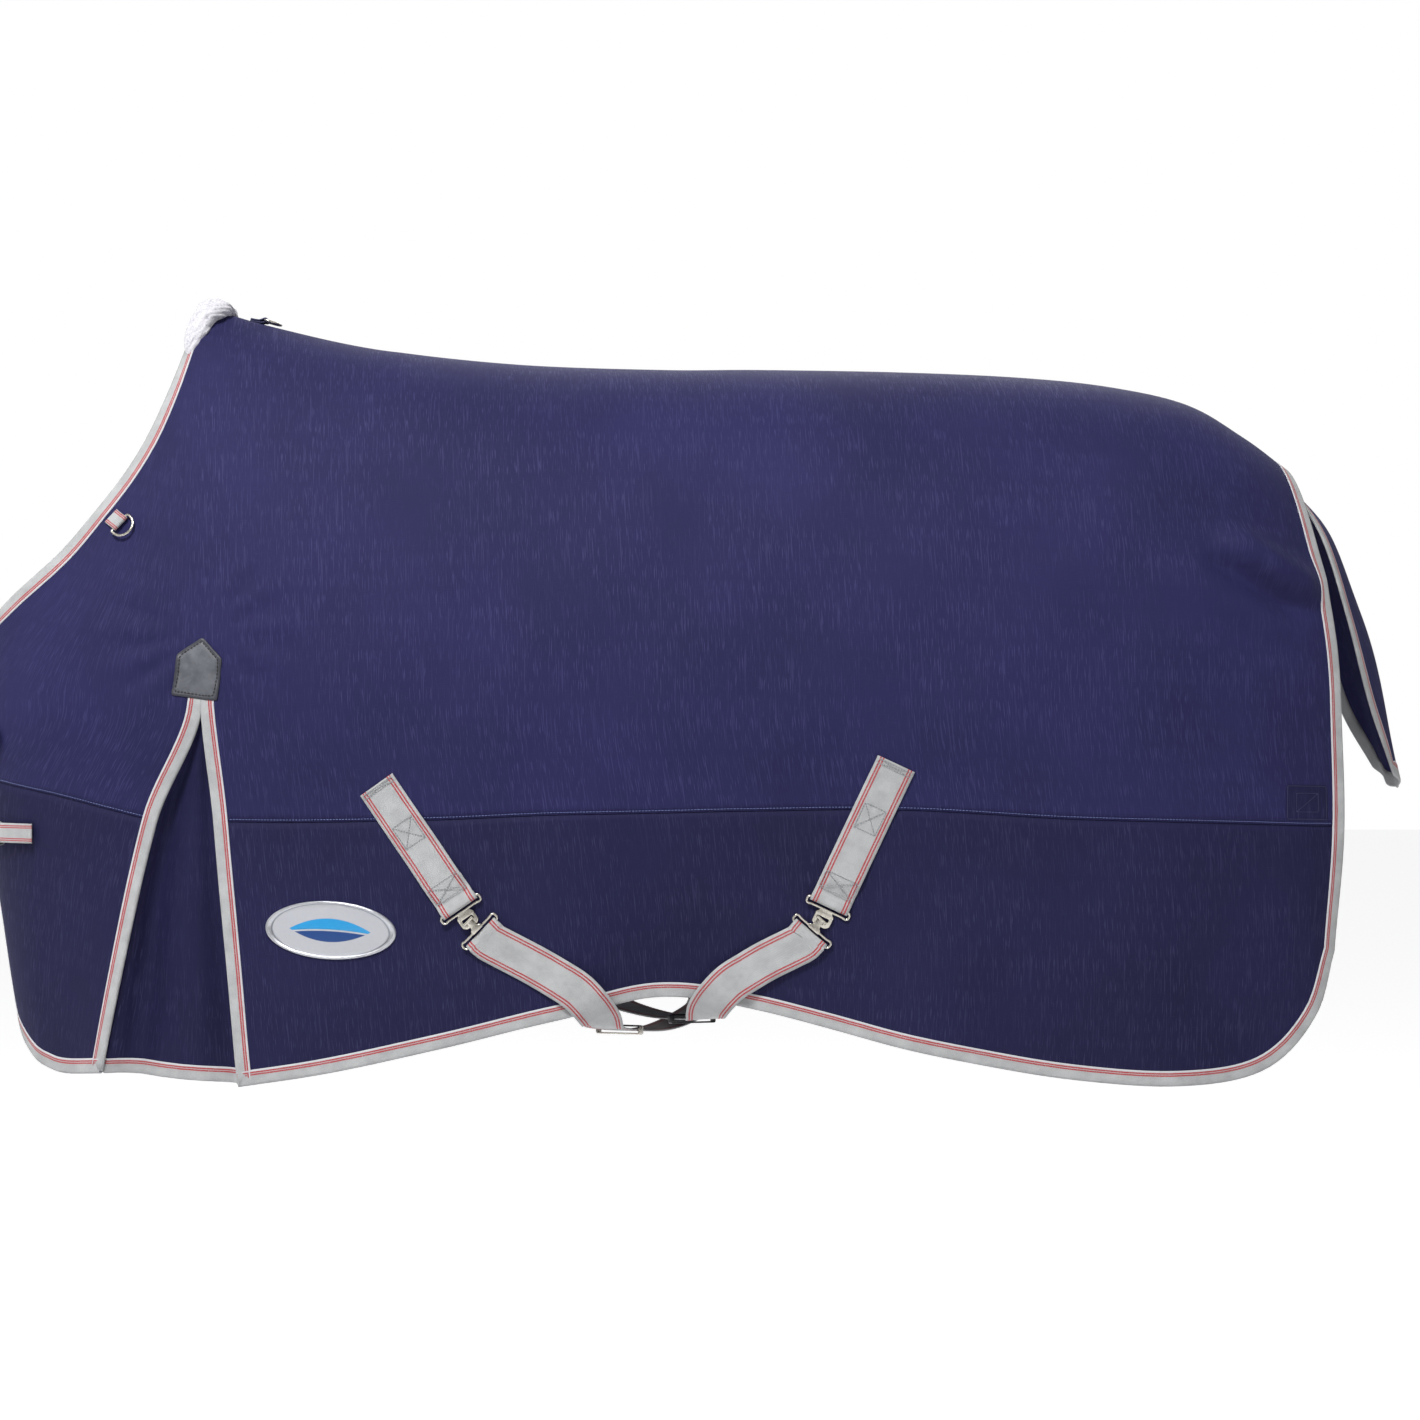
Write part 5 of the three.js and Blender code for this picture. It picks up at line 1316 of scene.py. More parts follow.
class RUG_OT_gussets(bpy.types.Operator):
    """Pleated inserts behind the shoulder openings, and the tape on their hems"""

    bl_idname = "rug.gussets"
    bl_label = "Shoulder gussets"

    def execute(self, context):
        for side in ("left", "right"):
            made = gusset_surface(side)
            insert = from_data(f"gusset_cloth_{side}", made.points, made.quads, made.places)
            apply(insert, "SOLIDIFY", thickness=SHELL_OUT - SHELL_IN, offset=-1)
            finish_piece(insert, "rug", "navy_shell", "Navy slub cloth, painted shade",
                         f"shoulder_gusset_{side}")
            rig.sheet(insert, flat=(0.24, 0.52), held="gathered", area=cut_area(insert),
                     rests_on=["lining_cloth"])
            hem = binding(f"gusset_hem_tape_{side}", made, made.ids[0], -0.0016, 0.0)
            finish_piece(hem, "rug", "tape", "Grey binding tape", f"gusset_hem_binding_{side}")
        return {"FINISHED"}


# ---------------------------------------------------------------- patches and badge
SHOULDER_PATCH = (-0.632, -0.384, (0.12, 0, 1))  # x, z and the heading of its top
LEG_PATCH = (0.738, -0.551, (0.03, 0, 1))
BADGE_PLACE = (-0.467, -0.707, (0.04, 0, 1))


def lay_frame(x, z, heading):
    """A place on the left side: its origin on the cloth, with x across, y along and z out."""
    origin, normal = body().on_left(x, z)
    around = ((0.014, 0), (-0.014, 0), (0, 0.014), (0, -0.014))
    normal = unit(normal + sum(body().on_left(x + dx, z + dz)[1] for dx, dz in around))
    along = unit(np.array(heading, float) - normal * np.dot(heading, normal))
    return hardware(origin, np.cross(along, normal), along, normal)


def rounded(corners, radius, per_corner=5):
    """A closed outline with its corners rounded, as x and y."""
    corners = np.asarray(corners, float)
    made = []
    for k, corner in enumerate(corners):
        before, after = corners[k - 1] - corner, corners[(k + 1) % len(corners)] - corner
        reach = min(radius, 0.45 * np.linalg.norm(before), 0.45 * np.linalg.norm(after))
        start, end = corner + unit(before) * reach, corner + unit(after) * reach
        for t in np.linspace(0, 1, per_corner):
            made.append((1 - t) ** 2 * start + 2 * t * (1 - t) * corner + t**2 * end)
    return np.array(made)


def densified(outline, step):
    closed = np.vstack([outline, outline[:1]])
    length = run_length(closed)
    at = np.linspace(0, length[-1], max(12, int(length[-1] / step)), endpoint=False)
    return at_lengths(at, length, closed)


def on_cloth(place, x, y, lift):
    """A point of a flat layout laid on the body cloth, and the normal there."""
    over = np.array(place @ Vector((x, y, 0.05)))
    down = -np.array(place.to_3x3() @ Vector((0, 0, 1)))
    spot, normal = body().struck(over, down)
    return spot + normal * lift, normal


def laid_patch(name, outline, place, profile, flip=False, metres=False):
    """A patch laid on the cloth; profile lists how far in each ring is and how high it lies."""
    size = np.abs(outline).max(axis=0)
    points, places = [], []
    for inset, lift in profile:
        share = np.maximum(1 - inset / size, 0.0)
        for x, y in outline * share:
            points.append(on_cloth(place, x, y, lift)[0])
            places.append((x, y) if metres else (np.min(share) if inset else 1.0, 0))
    n, m = len(profile), len(outline)
    points.append(on_cloth(place, 0, 0, profile[-1][1])[0])
    places.append((0, 0))
    faces, flat = [], []
    for i in range(n - 1):
        for k in range(m):
            beside = (k + 1) % m
            faces.append((i * m + k, i * m + beside, (i + 1) * m + beside, (i + 1) * m + k))
    for k in range(m):
        faces.append(((n - 1) * m + k, (n - 1) * m + (k + 1) % m, n * m))
    points = np.array(points)
    if flip:
        points = points * (1, -1, 1)
    for face in faces:
        flat += [places[v] for v in face]
    obj = from_data(name, points, faces, flat)
    outward(obj)
    normal = np.array(place.to_3x3() @ Vector((0, 0, 1))) * (1, -1 if flip else 1, 1)
    if np.dot(np.array(obj.data.polygons[-1].normal), normal) < 0:
        obj.data.flip_normals()
    return obj


def sewn_outline(name, outline, place, lift, flip=False, closed=True, **thread):
    """Stitches along a flat outline on the cloth."""
    line = np.vstack([outline, outline[:1]]) if closed else np.asarray(outline, float)
    length = run_length(line)
    at = np.linspace(0, length[-1], max(3, int(length[-1] / 0.003)))
    spots = [on_cloth(place, x, y, lift) for x, y in at_lengths(at, length, line)]
    side = np.array((1, -1 if flip else 1, 1))
    return stitches(name, np.array([s[0] for s in spots]) * side,
                    np.array([s[1] for s in spots]) * side, **thread)


def rectangle(half, low, high):
    return np.array([(-half, low), (half, low), (half, high), (-half, high)])


def above_shell(*profile):
    """Insets and heights over the outer cloth, from millimetres to metres."""
    return [(inset * MM, SHELL_OUT + height * MM) for inset, height in profile]


HOUSE = np.array([(-30, -38), (30, -38), (30, 14), (0, 38), (-30, 14)]) * MM
RAISED = above_shell((0, -0.2), (0.1, 1.6), (0.8, 2.1), (3.6, 2.1), (4.8, 1.6), (6.0, 2.2),
                     (12, 2.6), (20, 2.7), (27, 2.7))
FLAT_PATCH = above_shell((0, -0.1), (0.1, 0.7), (0.6, 1.0), (4, 0.9), (12, 1.1), (18, 0.9))
BADGE_PROFILE = above_shell((0, -0.3), (0.2, 1.8), (1.0, 2.6), (2.6, 2.9), (3.6, 2.4), (4.2, 1.8),
                            (9, 1.9), (16, 2.1), (26, 2.3), (34, 2.4))


class RUG_OT_patches(bpy.types.Operator):
    """Leather patches over the gussets, and the cloth patches that hold the leg rings"""

    bl_idname = "rug.patches"
    bl_label = "Patches"

    def execute(self, context):
        place = lay_frame(*SHOULDER_PATCH)
        outline = densified(rounded(HOUSE, 0.003), 0.003)
        leg = lay_frame(*LEG_PATCH)
        square = rectangle(0.030, -0.022, 0.022)
        for side, flip in (("left", False), ("right", True)):
            leather = laid_patch(f"shoulder_leather_{side}", outline, place, RAISED, flip)
            finish_piece(leather, "rug", "patch", "Grained patch leather", f"shoulder_patch_{side}")
            inner = outline * (1 - 0.0048 / 0.030, 1 - 0.0052 / 0.038)
            thread = sewn_outline(f"shoulder_leather_thread_{side}", inner, place,
                                  SHELL_OUT + 0.0023, flip, pitch=0.0046, length=0.0034, radius=0.0007)
            finish_piece(thread, "rug", "patch", "Black thread")
            cloth = laid_patch(f"leg_patch_cloth_{side}", densified(rounded(square, 0.002), 0.004), leg,
                               FLAT_PATCH, flip, metres=True)
            finish_piece(cloth, "rug", "navy_shell", "Navy slub cloth, painted shade",
                         f"leg_ring_patch_{side}")
            rows = []
            box = rectangle(0.0155, -0.0115, 0.0115)
            for k, (line, closed) in enumerate((
                (square * 0.93, True), (box, True), (box[[0, 2]], False),
            )):
                rows.append(sewn_outline(f"leg_thread_{k}_{side}", line, leg, SHELL_OUT + 0.001, flip,
                                         closed, pitch=0.0032, length=0.0025, radius=0.00036))
            both = joined_pieces(f"leg_patch_thread_{side}", rows)
            finish_piece(both, "rug", "navy_shell", "Navy thread")
        return {"FINISHED"}


class RUG_OT_badge(bpy.types.Operator):
    """A plain oval badge with a raised rim"""

    bl_idname = "rug.badge"
    bl_label = "Badge"

    def execute(self, context):
        place = lay_frame(*BADGE_PLACE)
        turn = np.linspace(0, 2 * math.pi, 97)[:-1]
        oval = np.stack([np.cos(turn), np.sin(turn)], axis=1) * BADGE_HALF
        badge = laid_patch("oval_badge", oval, place, BADGE_PROFILE, metres=True)
        finish_piece(badge, "rug", "badge", "Badge enamel", "badge")
        return {"FINISHED"}


# ---------------------------------------------------------------- rings, hooks and buckles
def mirrored(obj):
    """Moves a mesh to the right side."""
    obj.data.transform(Matrix.Scale(-1, 4, (0, 1, 0)))
    outward(obj)
    return obj


def curve_of(name, add, rings, closed):
    """A curve with a straight-sided spline for each ring of points, given in millimetres."""
    bpy.ops.object.select_all(action="DESELECT")
    add(location=(0, 0, 0))
    obj = bpy.context.object
    obj.name = name
    obj.data.splines.clear()
    for ring in rings:
        spline = obj.data.splines.new("POLY")
        spline.points.add(len(ring) - 1)
        for point, (x, y, *z) in zip(spline.points, np.asarray(ring, float) * MM):
            point.co = (x, y, *(z or [0]), 1)
        spline.use_cyclic_u = closed
    return obj


def mesh_of(obj, place, merge, smooth_angle):
    """Turns a curve into a mesh without doubles, facing outwards, in its place."""
    bpy.ops.object.convert(target="MESH")
    bpy.ops.object.mode_set(mode="EDIT")
    bpy.ops.mesh.select_all(action="SELECT")
    bpy.ops.mesh.remove_doubles(threshold=merge)
    bpy.ops.mesh.normals_make_consistent(inside=False)
    bpy.ops.object.mode_set(mode="OBJECT")
    obj.data.transform(place)
    bpy.ops.object.shade_smooth_by_angle(angle=math.radians(smooth_angle))
    return obj


def bent_rod(name, line, radius, place, closed=False):
    """Round rod along points given in millimetres in a fitting's own place."""
    obj = curve_of(name, bpy.ops.curve.primitive_nurbs_path_add, [line], closed)
    obj.data.bevel_depth = radius
    obj.data.bevel_resolution = 4
    obj.data.use_fill_caps = not closed
    return mesh_of(obj, place, 1e-5, 50)


def plate(name, outline, holes, thickness, place, height=0.0):
    """Flat plate with eased edges, cut from outlines in millimetres."""
    obj = curve_of(name, bpy.ops.curve.primitive_bezier_circle_add, [outline, *holes], True)
    curve = obj.data
    curve.dimensions = "2D"
    curve.fill_mode = "BOTH"
    curve.extrude = thickness / 2 - PLATE_EASE
    curve.bevel_depth = PLATE_EASE
    curve.bevel_resolution = 2
    curve.offset = -PLATE_EASE
    return mesh_of(obj, place @ Matrix.Translation((0, 0, height)), 1e-6, 35)


def arc(centre, radius, start, end, steps=8):
    turns = np.radians(np.linspace(start, end, steps))
    return [(centre[0] + radius * math.cos(t), centre[1] + radius * math.sin(t), 0) for t in turns]


def web_in(place, across=None):
    """Turns y and z, in millimetres in a fitting's own place, into a station of webbing."""
    turn, origin = np.array(place.to_3x3()), np.array(place.translation)
    across = turn[:, 0] if across is None else across
    return lambda y, z: (origin + turn @ (np.array((0, y, z)) * MM), across)


def d_ring(name, place):
    half, corner, straight = 14.7, 2.4, 5.0
    line = [
        *arc((half - corner, corner), corner, -90, 0, 6),
        *arc((0, straight), half, 0, 180, 25),
        *arc((-half + corner, corner), corner, 180, 270, 6),
    ]
    return bent_rod(name, line, 0.0017, place, closed=True)


def box_stitching(name, outline, place_point, radius):
    """A sewn box with its diagonals; place_point turns x and y into a point and a normal."""
    corners = np.asarray(outline, float)
    lines = [np.vstack([corners, corners[:1]]), corners[[0, 2]], corners[[1, 3]]]
    rows = []
    for k, line in enumerate(lines):
        run = run_length(line)
        at = np.linspace(0, run[-1], max(4, int(run[-1] / 0.003)))
        points, normals = zip(*[place_point(x, y) for x, y in at_lengths(at, run, line)])
        rows.append(stitches(f"{name}_{k}", points, normals, pitch=0.0036, length=0.003, radius=radius))
    return joined_pieces(name, rows)


class RUG_OT_rings(bpy.types.Operator):
    """D-rings in webbing tabs at the neck, the withers and inside the hind legs"""

    bl_idname = "rug.rings"
    bl_label = "D-rings"

    TAB = [(-19, -5.3), (-12, -5.2), (-5, -4.2), (-1.5, -2.7), (1.6, -2.1), (2.65, 0), (1.6, 2.1),
           (-1.5, 2.4), (-5, -0.2), (-9, -2.2), (-19, -3.3)]

    def execute(self, context):
        for label, place, finish, sides in (
            ("neck", NECK_RING, "Grey narrow webbing", ("left", "right")),
            ("leg", LEG_RING, "Navy webbing", ("left", "right")),
            ("wither", WITHER_RING, "Navy webbing", ("",)),
        ):
            for side in sides:
                tail = f"_{side}" if side else ""
                ring = d_ring(f"{label}_ring_wire{tail}", place)
                tab = webbing(f"{label}_ring_web{tail}", [web_in(place)(*spot) for spot in self.TAB],
                              TAB_WIDTH, trim_settings().web_thickness, step=0.0015)
                if side == "right":
                    ring, tab = mirrored(ring), mirrored(tab)
                finish_piece(ring, f"{label}_ring{tail}", "nickel", "Plated steel",
                             f"{label}_d_ring{tail}")
                finish_piece(tab, "rug", "tape", finish, f"{label}_ring_tab{tail}")
                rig.sheet(tab, flat=(TAB_WIDTH, 0.048), held="folded")
        return {"FINISHED"}


def loop_line():
    """A bent loop with swollen, rounded ends, from the middle of its bar and back."""
    half, depth = LOOP_HALF, LOOP_DEPTH
    end = [(half - 8, 0), (half - 4.5, -0.5), (half - 1.6, -0.7), (half + 0.3, 0.6), (half + 0.9, 2.2),
           (half + 0.9, depth - 2.2), (half + 0.3, depth - 0.6), (half - 1.6, depth + 0.7),
           (half - 4.5, depth + 0.5), (half - 8, depth)]
    right = [(0, 0), *end, (0, depth)]
    left = [(-x, y) for x, y in reversed(end)]
    line = np.array([(x, y, 0) for x, y in (*right, *left, (0, 0))], float)
    return evenly(line, 1.0)[:-1]


class RUG_OT_surcingles(bpy.types.Operator):
    """Left-side surcingle ends with their slotted plates"""

    bl_idname = "rug.surcingles"
    bl_label = "Surcingle ends"

    def execute(self, context):
        rod = fitting_settings().rod
        for name, place in CHAPES.items():
            web = webbing(f"surcingle_web_{name}", chape_stations(name), WEB_WIDTH,
                          trim_settings().web_thickness, step=0.002)
            finish_piece(web, "rug", "webbing", "Grey surcingle webbing", f"surcingle_chape_{name}")
            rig.sheet(web, flat=(WEB_WIDTH, self.cut_length(name)), held="folded",
                     rests_on=["shell_upper_cloth"])
            self.sew(name)
            loop = bent_rod(f"slot_plate_loop_{name}", loop_line(), rod, place, closed=True)
            tongue = plate(
                f"slot_plate_tongue_{name}",
                rounded([(-8, 6.6), (8, 6.6), (8, 9.5), (11.5, 12.5), (11.5, 25.5), (7, 29),
                              (-7, 29), (-11.5, 25.5), (-11.5, 12.5), (-8, 9.5)], 2.0),
                [rounded([(-7.5, 16.5), (7.5, 16.5), (7.5, 20.5), (3, 22.5), (3, 25.6), (-3, 25.6),
                               (-3, 22.5), (-7.5, 20.5)], 1.2)],
                0.0026, place,
            )
            both = joined_pieces(f"slot_plate_{name}", [loop, tongue])
            finish_piece(both, "rug", "nickel", "Plated steel", f"surcingle_slot_plate_{name}")
        return {"FINISHED"}

    @staticmethod
    def cut_length(name):
        stations = np.array([centre for centre, _ in chape_stations(name)])
        return float(run_length(evenly(stations, 0.002))[-1])

    @staticmethod
    def sew(name):
        """Box and cross by the bar, and a double row at the sewn end."""
        (tx, tz), (fx, fz) = CHAPE_TOPS[name], CHAPE_FEET[name]
        top, foot = np.array((tx, tz)) * MM, np.array((fx, fz)) * MM
        heading = unit(top - foot)
        aside = np.array((-heading[1], heading[0]))
        half = 0.0215

        def spot_at(lift):
            return lambda x, y: body().on_left(*(foot + heading * y + aside * x), lift)

        long = float(np.linalg.norm(top - foot))
        boxes = [box_stitching(f"surcingle_box_{name}", rectangle(half, 0.016, 0.037),
                               spot_at(SHELL_OUT + 0.0048), 0.0005)]
        for k, (low, high, half) in enumerate(((0.52, 0.69, 0.0140), (0.955, 0.985, half))):
            boxes.append(box_stitching(f"surcingle_end_box_{k}_{name}",
                                       rectangle(half, long * low, long * high),
                                       spot_at(SHELL_OUT + 0.0027), 0.00055))
        both = joined_pieces(f"surcingle_stitching_{name}", boxes)
        finish_piece(both, "rug", "webbing", "Grey thread")


def chape_stations(name, fold_back=True):
    """The sewn length down the side, round the bar and back under itself."""
    at = web_in(CHAPES[name])
    bar = at(0, 0)[1]
    (tx, tz), (fx, fz) = CHAPE_TOPS[name], CHAPE_FEET[name]
    stations = []
    down = unit(np.array((fx - tx, 0, fz - tz), float))
    for t in np.linspace(0, 0.80, 9):
        x, z = tx + (fx - tx) * t, tz + (fz - tz) * t
        lift = SHELL_OUT + 0.0015 + 0.0021 * np.clip((t - 0.62) / 0.15, 0, 1)
        point, normal = body().on_left(x * MM, z * MM, lift)
        across = unit(np.cross(normal, down))
        across = across if np.dot(across, bar) > 0 else -across
        stations.append((point, across))
    stations += [at(-16, -2.4), at(-8, 0.4), at(-2, 2.3)]
    if fold_back:
        stations += [at(1.7, 1.9), at(2.6, 0), at(1.7, -2.0)]
        stations += [at(-3, -3.9), at(-12, -5.0), at(-34, -4.6)]
    return stations


def t_hook(name, place):
    """A bent loop with a tongue that ends in a cross bar."""
    loop = bent_rod(f"hook_loop_{name}", loop_line(), fitting_settings().rod, place, closed=True)
    tongue = plate(
        f"hook_tongue_{name}",
        rounded([(-9, 6.6), (9, 6.6), (8, 10), (4.2, 13), (3.4, 22.5), (-3.4, 22.5), (-4.2, 13),
                 (-8, 10)], 1.6),
        [], 0.0026, place, height=0.0042,
    )
    foot = plate(f"hook_foot_{name}", rounded(rectangle(8, 5.6, 9.4), 1.2), [], 0.0060, place,
                 height=0.0022)
    bar_line = [(x, 22.2, 4.2) for x in (-7.2, -4, 4, 7.2)]
    bar = bent_rod(f"hook_bar_{name}", bar_line, 0.0018, place)
    return joined_pieces(f"t_hook_{name}", [loop, tongue, foot, bar])


class RUG_OT_belly_straps(bpy.types.Operator):
    """Crossed straps under the belly with their T-hooks and sliders"""

    bl_idname = "rug.belly_straps"
    bl_label = "Belly straps"

    SLIDERS = {"front": ("nickel", "Plated steel"), "rear": ("black_metal", "Blackened steel")}
    SIDE = {  # centre and across, from the hook down to where the strap turns under the hem
        "front": [
            ((-0.24729, -0.29015, -0.729), (-0.60613, 0.08857, -0.79042)),
            ((-0.21829, -0.2908, -0.7462), (-0.53, 0.08, -0.846)),
            ((-0.18818, -0.29067, -0.76356), (-0.51076, 0.0288, -0.85924)),
            ((-0.163, -0.2903, -0.780), (-0.58, 0, -0.82)),
            ((-0.146, -0.2865, -0.798), (-0.73, 0.10, -0.68)),
            ((-0.135, -0.270, -0.8145), (-0.87, 0.15, -0.46)),
        ],
        "rear": [
            ((0.09552, -0.29116, -0.72662), (-0.64659, -0.00291, 0.76284)),
            ((0.07093, -0.28785, -0.74185), (-0.54, -0.04, 0.84)),
            ((0.04624, -0.28381, -0.75655), (-0.51439, -0.04667, 0.85628)),
            ((0.0255, -0.2815, -0.770), (-0.58, 0, 0.82)),
            ((0.008, -0.2765, -0.788), (-0.73, -0.10, 0.68)),
            ((-0.003, -0.2605, -0.8045), (-0.87, -0.15, 0.46)),
        ],
    }

    def execute(self, context):
        for name, other in (("front", "rear"), ("rear", "front")):
            stations = self.stations(name, other)
            strap = webbing(f"belly_web_{name}", stations, WEB_WIDTH, trim_settings().web_thickness,
                            step=0.003)
            length = float(web_path(stations, 0.003)[-1][-1])
            finish_piece(strap, None, "webbing", "Grey surcingle webbing",
                         f"belly_strap_{name}", f"belly_strap_anchor_{name}")
            x = STRAP_TURNS[other][0]
            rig.blend(strap, "rug", f"belly_strap_{name}", start=(x, PIVOT_Y + 0.003, -0.790),
                     end=(x, PIVOT_Y - 0.037, -0.850))
            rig.sheet(strap, flat=(WEB_WIDTH, length), held="hung")
            hook = t_hook(name, HOOKS[name])
            finish_piece(hook, f"t_hook_{name}", "nickel", "Plated steel",
                         f"surcingle_t_hook_{name}")
            slider = copy_of_node(f"strap_slider_{name}", f"belly_strap_slider_{name}", 0.0006)
            finish_piece(slider, f"slider_{name}", *self.SLIDERS[name], f"belly_strap_slider_{name}")
        return {"FINISHED"}

    def stations(self, name, other):
        """From the sewn end on the right side, under the belly, to the fold in the hook."""
        flip = np.array((1, -1, 1))
        right = [(c * flip, a * flip) for c, a in chape_stations(other, fold_back=False)[:-1]]
        for centre, across in self.SIDE[other]:
            right.append((np.array(centre) * flip, np.array(across) * flip))
        turn = np.array(STRAP_TURNS[name])
        far = np.array((STRAP_TURNS[other][0], PIVOT_Y, PIVOT_Z))
        heading = unit(far - turn)
        level = unit(np.array((-heading[1], heading[0], 0)))
        sag, drop = STRAP_SAG[name]
        belly = []
        towards = -np.sign(turn[0] - far[0])
        for t in np.linspace(0.92, 0.08, 22):
            point = turn + (far - turn) * t
            hang = sag * 4 * t * (1 - t) + drop * math.sin(math.pi * t) ** 2
            bow = 0.015 * sum(sign * math.exp(-(((t - end) / 0.075) ** 2))
                              for sign, end in ((1, 0.05), (-1, 0.95)))
            belly.append((point + (towards * bow, 0, -hang), level))
        left = [(np.array(c), np.array(a)) for c, a in reversed(self.SIDE[name][1:])]
        bar = web_in(HOOKS[name])(0, 0)[1]
        at = web_in(HOOKS[name], bar if np.dot(bar, left[-1][1]) > 0 else -bar)
        hook = [at(-15, 1.2), at(-7, 2.2), at(-1.5, 2.6), at(1.8, 1.9), at(2.6, 0), at(1.8, -1.9),
                at(-2, -2.7), at(-9, -1.6), at(-15, -1.2)]
        return [*right, *belly, *left, *hook]


# ---------------------------------------------------------------- chest straps
class ChestLine:
    """A level line round the chest on the body surface, measured from the middle to the left."""

    def __init__(self, height):
        found = []
        for turn in np.radians(np.arange(-80, 81, 1.0)):
            out = np.array((-math.cos(turn), -math.sin(turn), 0))
            axis = np.array((-0.760, 0, height))
            try:
                place, _ = body().struck(axis + out * 2, -out)
            except RuntimeError:
                continue
            if np.dot(place - axis, out) > 0.02:
                found.append((math.degrees(turn), *place))
        found = np.array(found)
        self.points = found[:, 1:]
        run = run_length(self.points)
        self.distance = run - np.interp(0, found[:, 0], run)
        along = np.gradient(self.points, axis=0)
        self.normals = unit(np.cross(along, (0, 0, 1.0)))
        if self.normals[len(run) // 2][0] > 0:
            self.normals = -self.normals

    def at(self, distance, lift):
        normal = unit(at_lengths(distance, self.distance, self.normals))
        return at_lengths(distance, self.distance, self.points) + normal * lift


class RUG_OT_chest_straps(bpy.types.Operator):
    """Chest straps with their buckles, prongs and keepers"""

    bl_idname = "rug.chest_straps"
    bl_label = "Chest straps"

    IN_BUCKLE = [(32, -2.8), (24, -3.1), (17, -1.6), (9, 3.4), (3, 5.9), (-3, 5.9), (-10, 4.4)]
    ROUND_BAR = [(-8, -1.6), (-2, -2.4), (1.7, -1.8), (2.5, 0), (1.7, 1.8), (-2, 2.4), (-8, 0.5)]
    KEEPERS = {  # place, heading along the strap and heading off it
        "upper": ((-0.9278, -0.09199, -0.474), (-0.60669, 0.79493, -0.00218),
                  (-0.78564, -0.60002, -0.15084)),
        "lower": ((-0.90155, -0.09211, -0.592), (-0.65652, 0.75422, -0.01181),
                  (-0.7443, -0.65027, -0.15221)),
    }

    def execute(self, context):
        thick = trim_settings().web_thickness
        for name, height in CHEST_LEVELS.items():
            for kind, bevel in (("buckle", 0.0006), ("buckle_prong", 0.0004)):
                node = f"chest_{kind}_{name}"
                made = copy_of_node(f"{node}_steel", node, bevel)
                rider = f"chest_prong_{name}" if kind == "buckle_prong" else "rug"
                finish_piece(made, rider, "nickel", "Plated steel", node)
            up = np.array((0, 0, 1.0))
            inside = web_in(BUCKLES[name])
            line = ChestLine(height)
            flush = SHELL_OUT + 0.0013
            sewn = [(line.at(d * MM, flush + 0.0005), up) for d in (-120, -98, -76, -54)]
            over = [(line.at(-24 * MM, 0.0103), up), (line.at(10 * MM, 0.0103), up)]
            tip = CHEST_TIPS[name] / MM
            back = [(line.at(d * MM, 0.010), up) for d in np.linspace(86, tip, 5)]
            through = [inside(*spot) for spot in self.IN_BUCKLE]
            strap = webbing(f"chest_web_{name}", [*sewn, *over, *through, *back],
                            CHEST_WIDTH, thick, step=0.0025)
            self.declare(strap, f"chest_strap_{name}", "hung")
            flat = [(line.at(d * MM, 0.0068), up) for d in (136, 116, 96, 78)]
            fold = [inside(*spot) for spot in self.ROUND_BAR]
            chape = webbing(f"chest_chape_web_{name}", [*flat, *fold], CHEST_WIDTH, thick, step=0.0015)
            self.declare(chape, f"chest_chape_{name}", "folded")
            self.keeper(name)
        return {"FINISHED"}

    @staticmethod
    def declare(obj, node, held):
        """Its flat size is measured on its flat place."""
        finish_piece(obj, "rug", "webbing", "Grey narrow webbing", node)
        length, width = (max(v) - min(v) for v in zip(*[c.uv for c in obj.data.uv_layers[0].data]))
        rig.sheet(obj, flat=(round(width, 4), length), held=held)

    def keeper(self, name):
        """A loop of webbing round the strap."""
        origin, along, normal = (np.array(v) for v in self.KEEPERS[name])
        aside = np.cross(along, normal)
        ring = rounded([(-14.4, 4.4), (14.4, 4.4), (14.4, 12.4), (-14.4, 12.4)], 2.2, 6) * MM
        ring = np.vstack([ring[len(ring) // 2:], ring[:len(ring) // 2], ring[len(ring) // 2]])
        stations = [(origin + aside * x + normal * h, along) for x, h in ring]
        loop = webbing(f"chest_keeper_web_{name}", stations, 0.0105, 0.0016, step=0.001)
        self.declare(loop, f"chest_keeper_{name}", "folded")


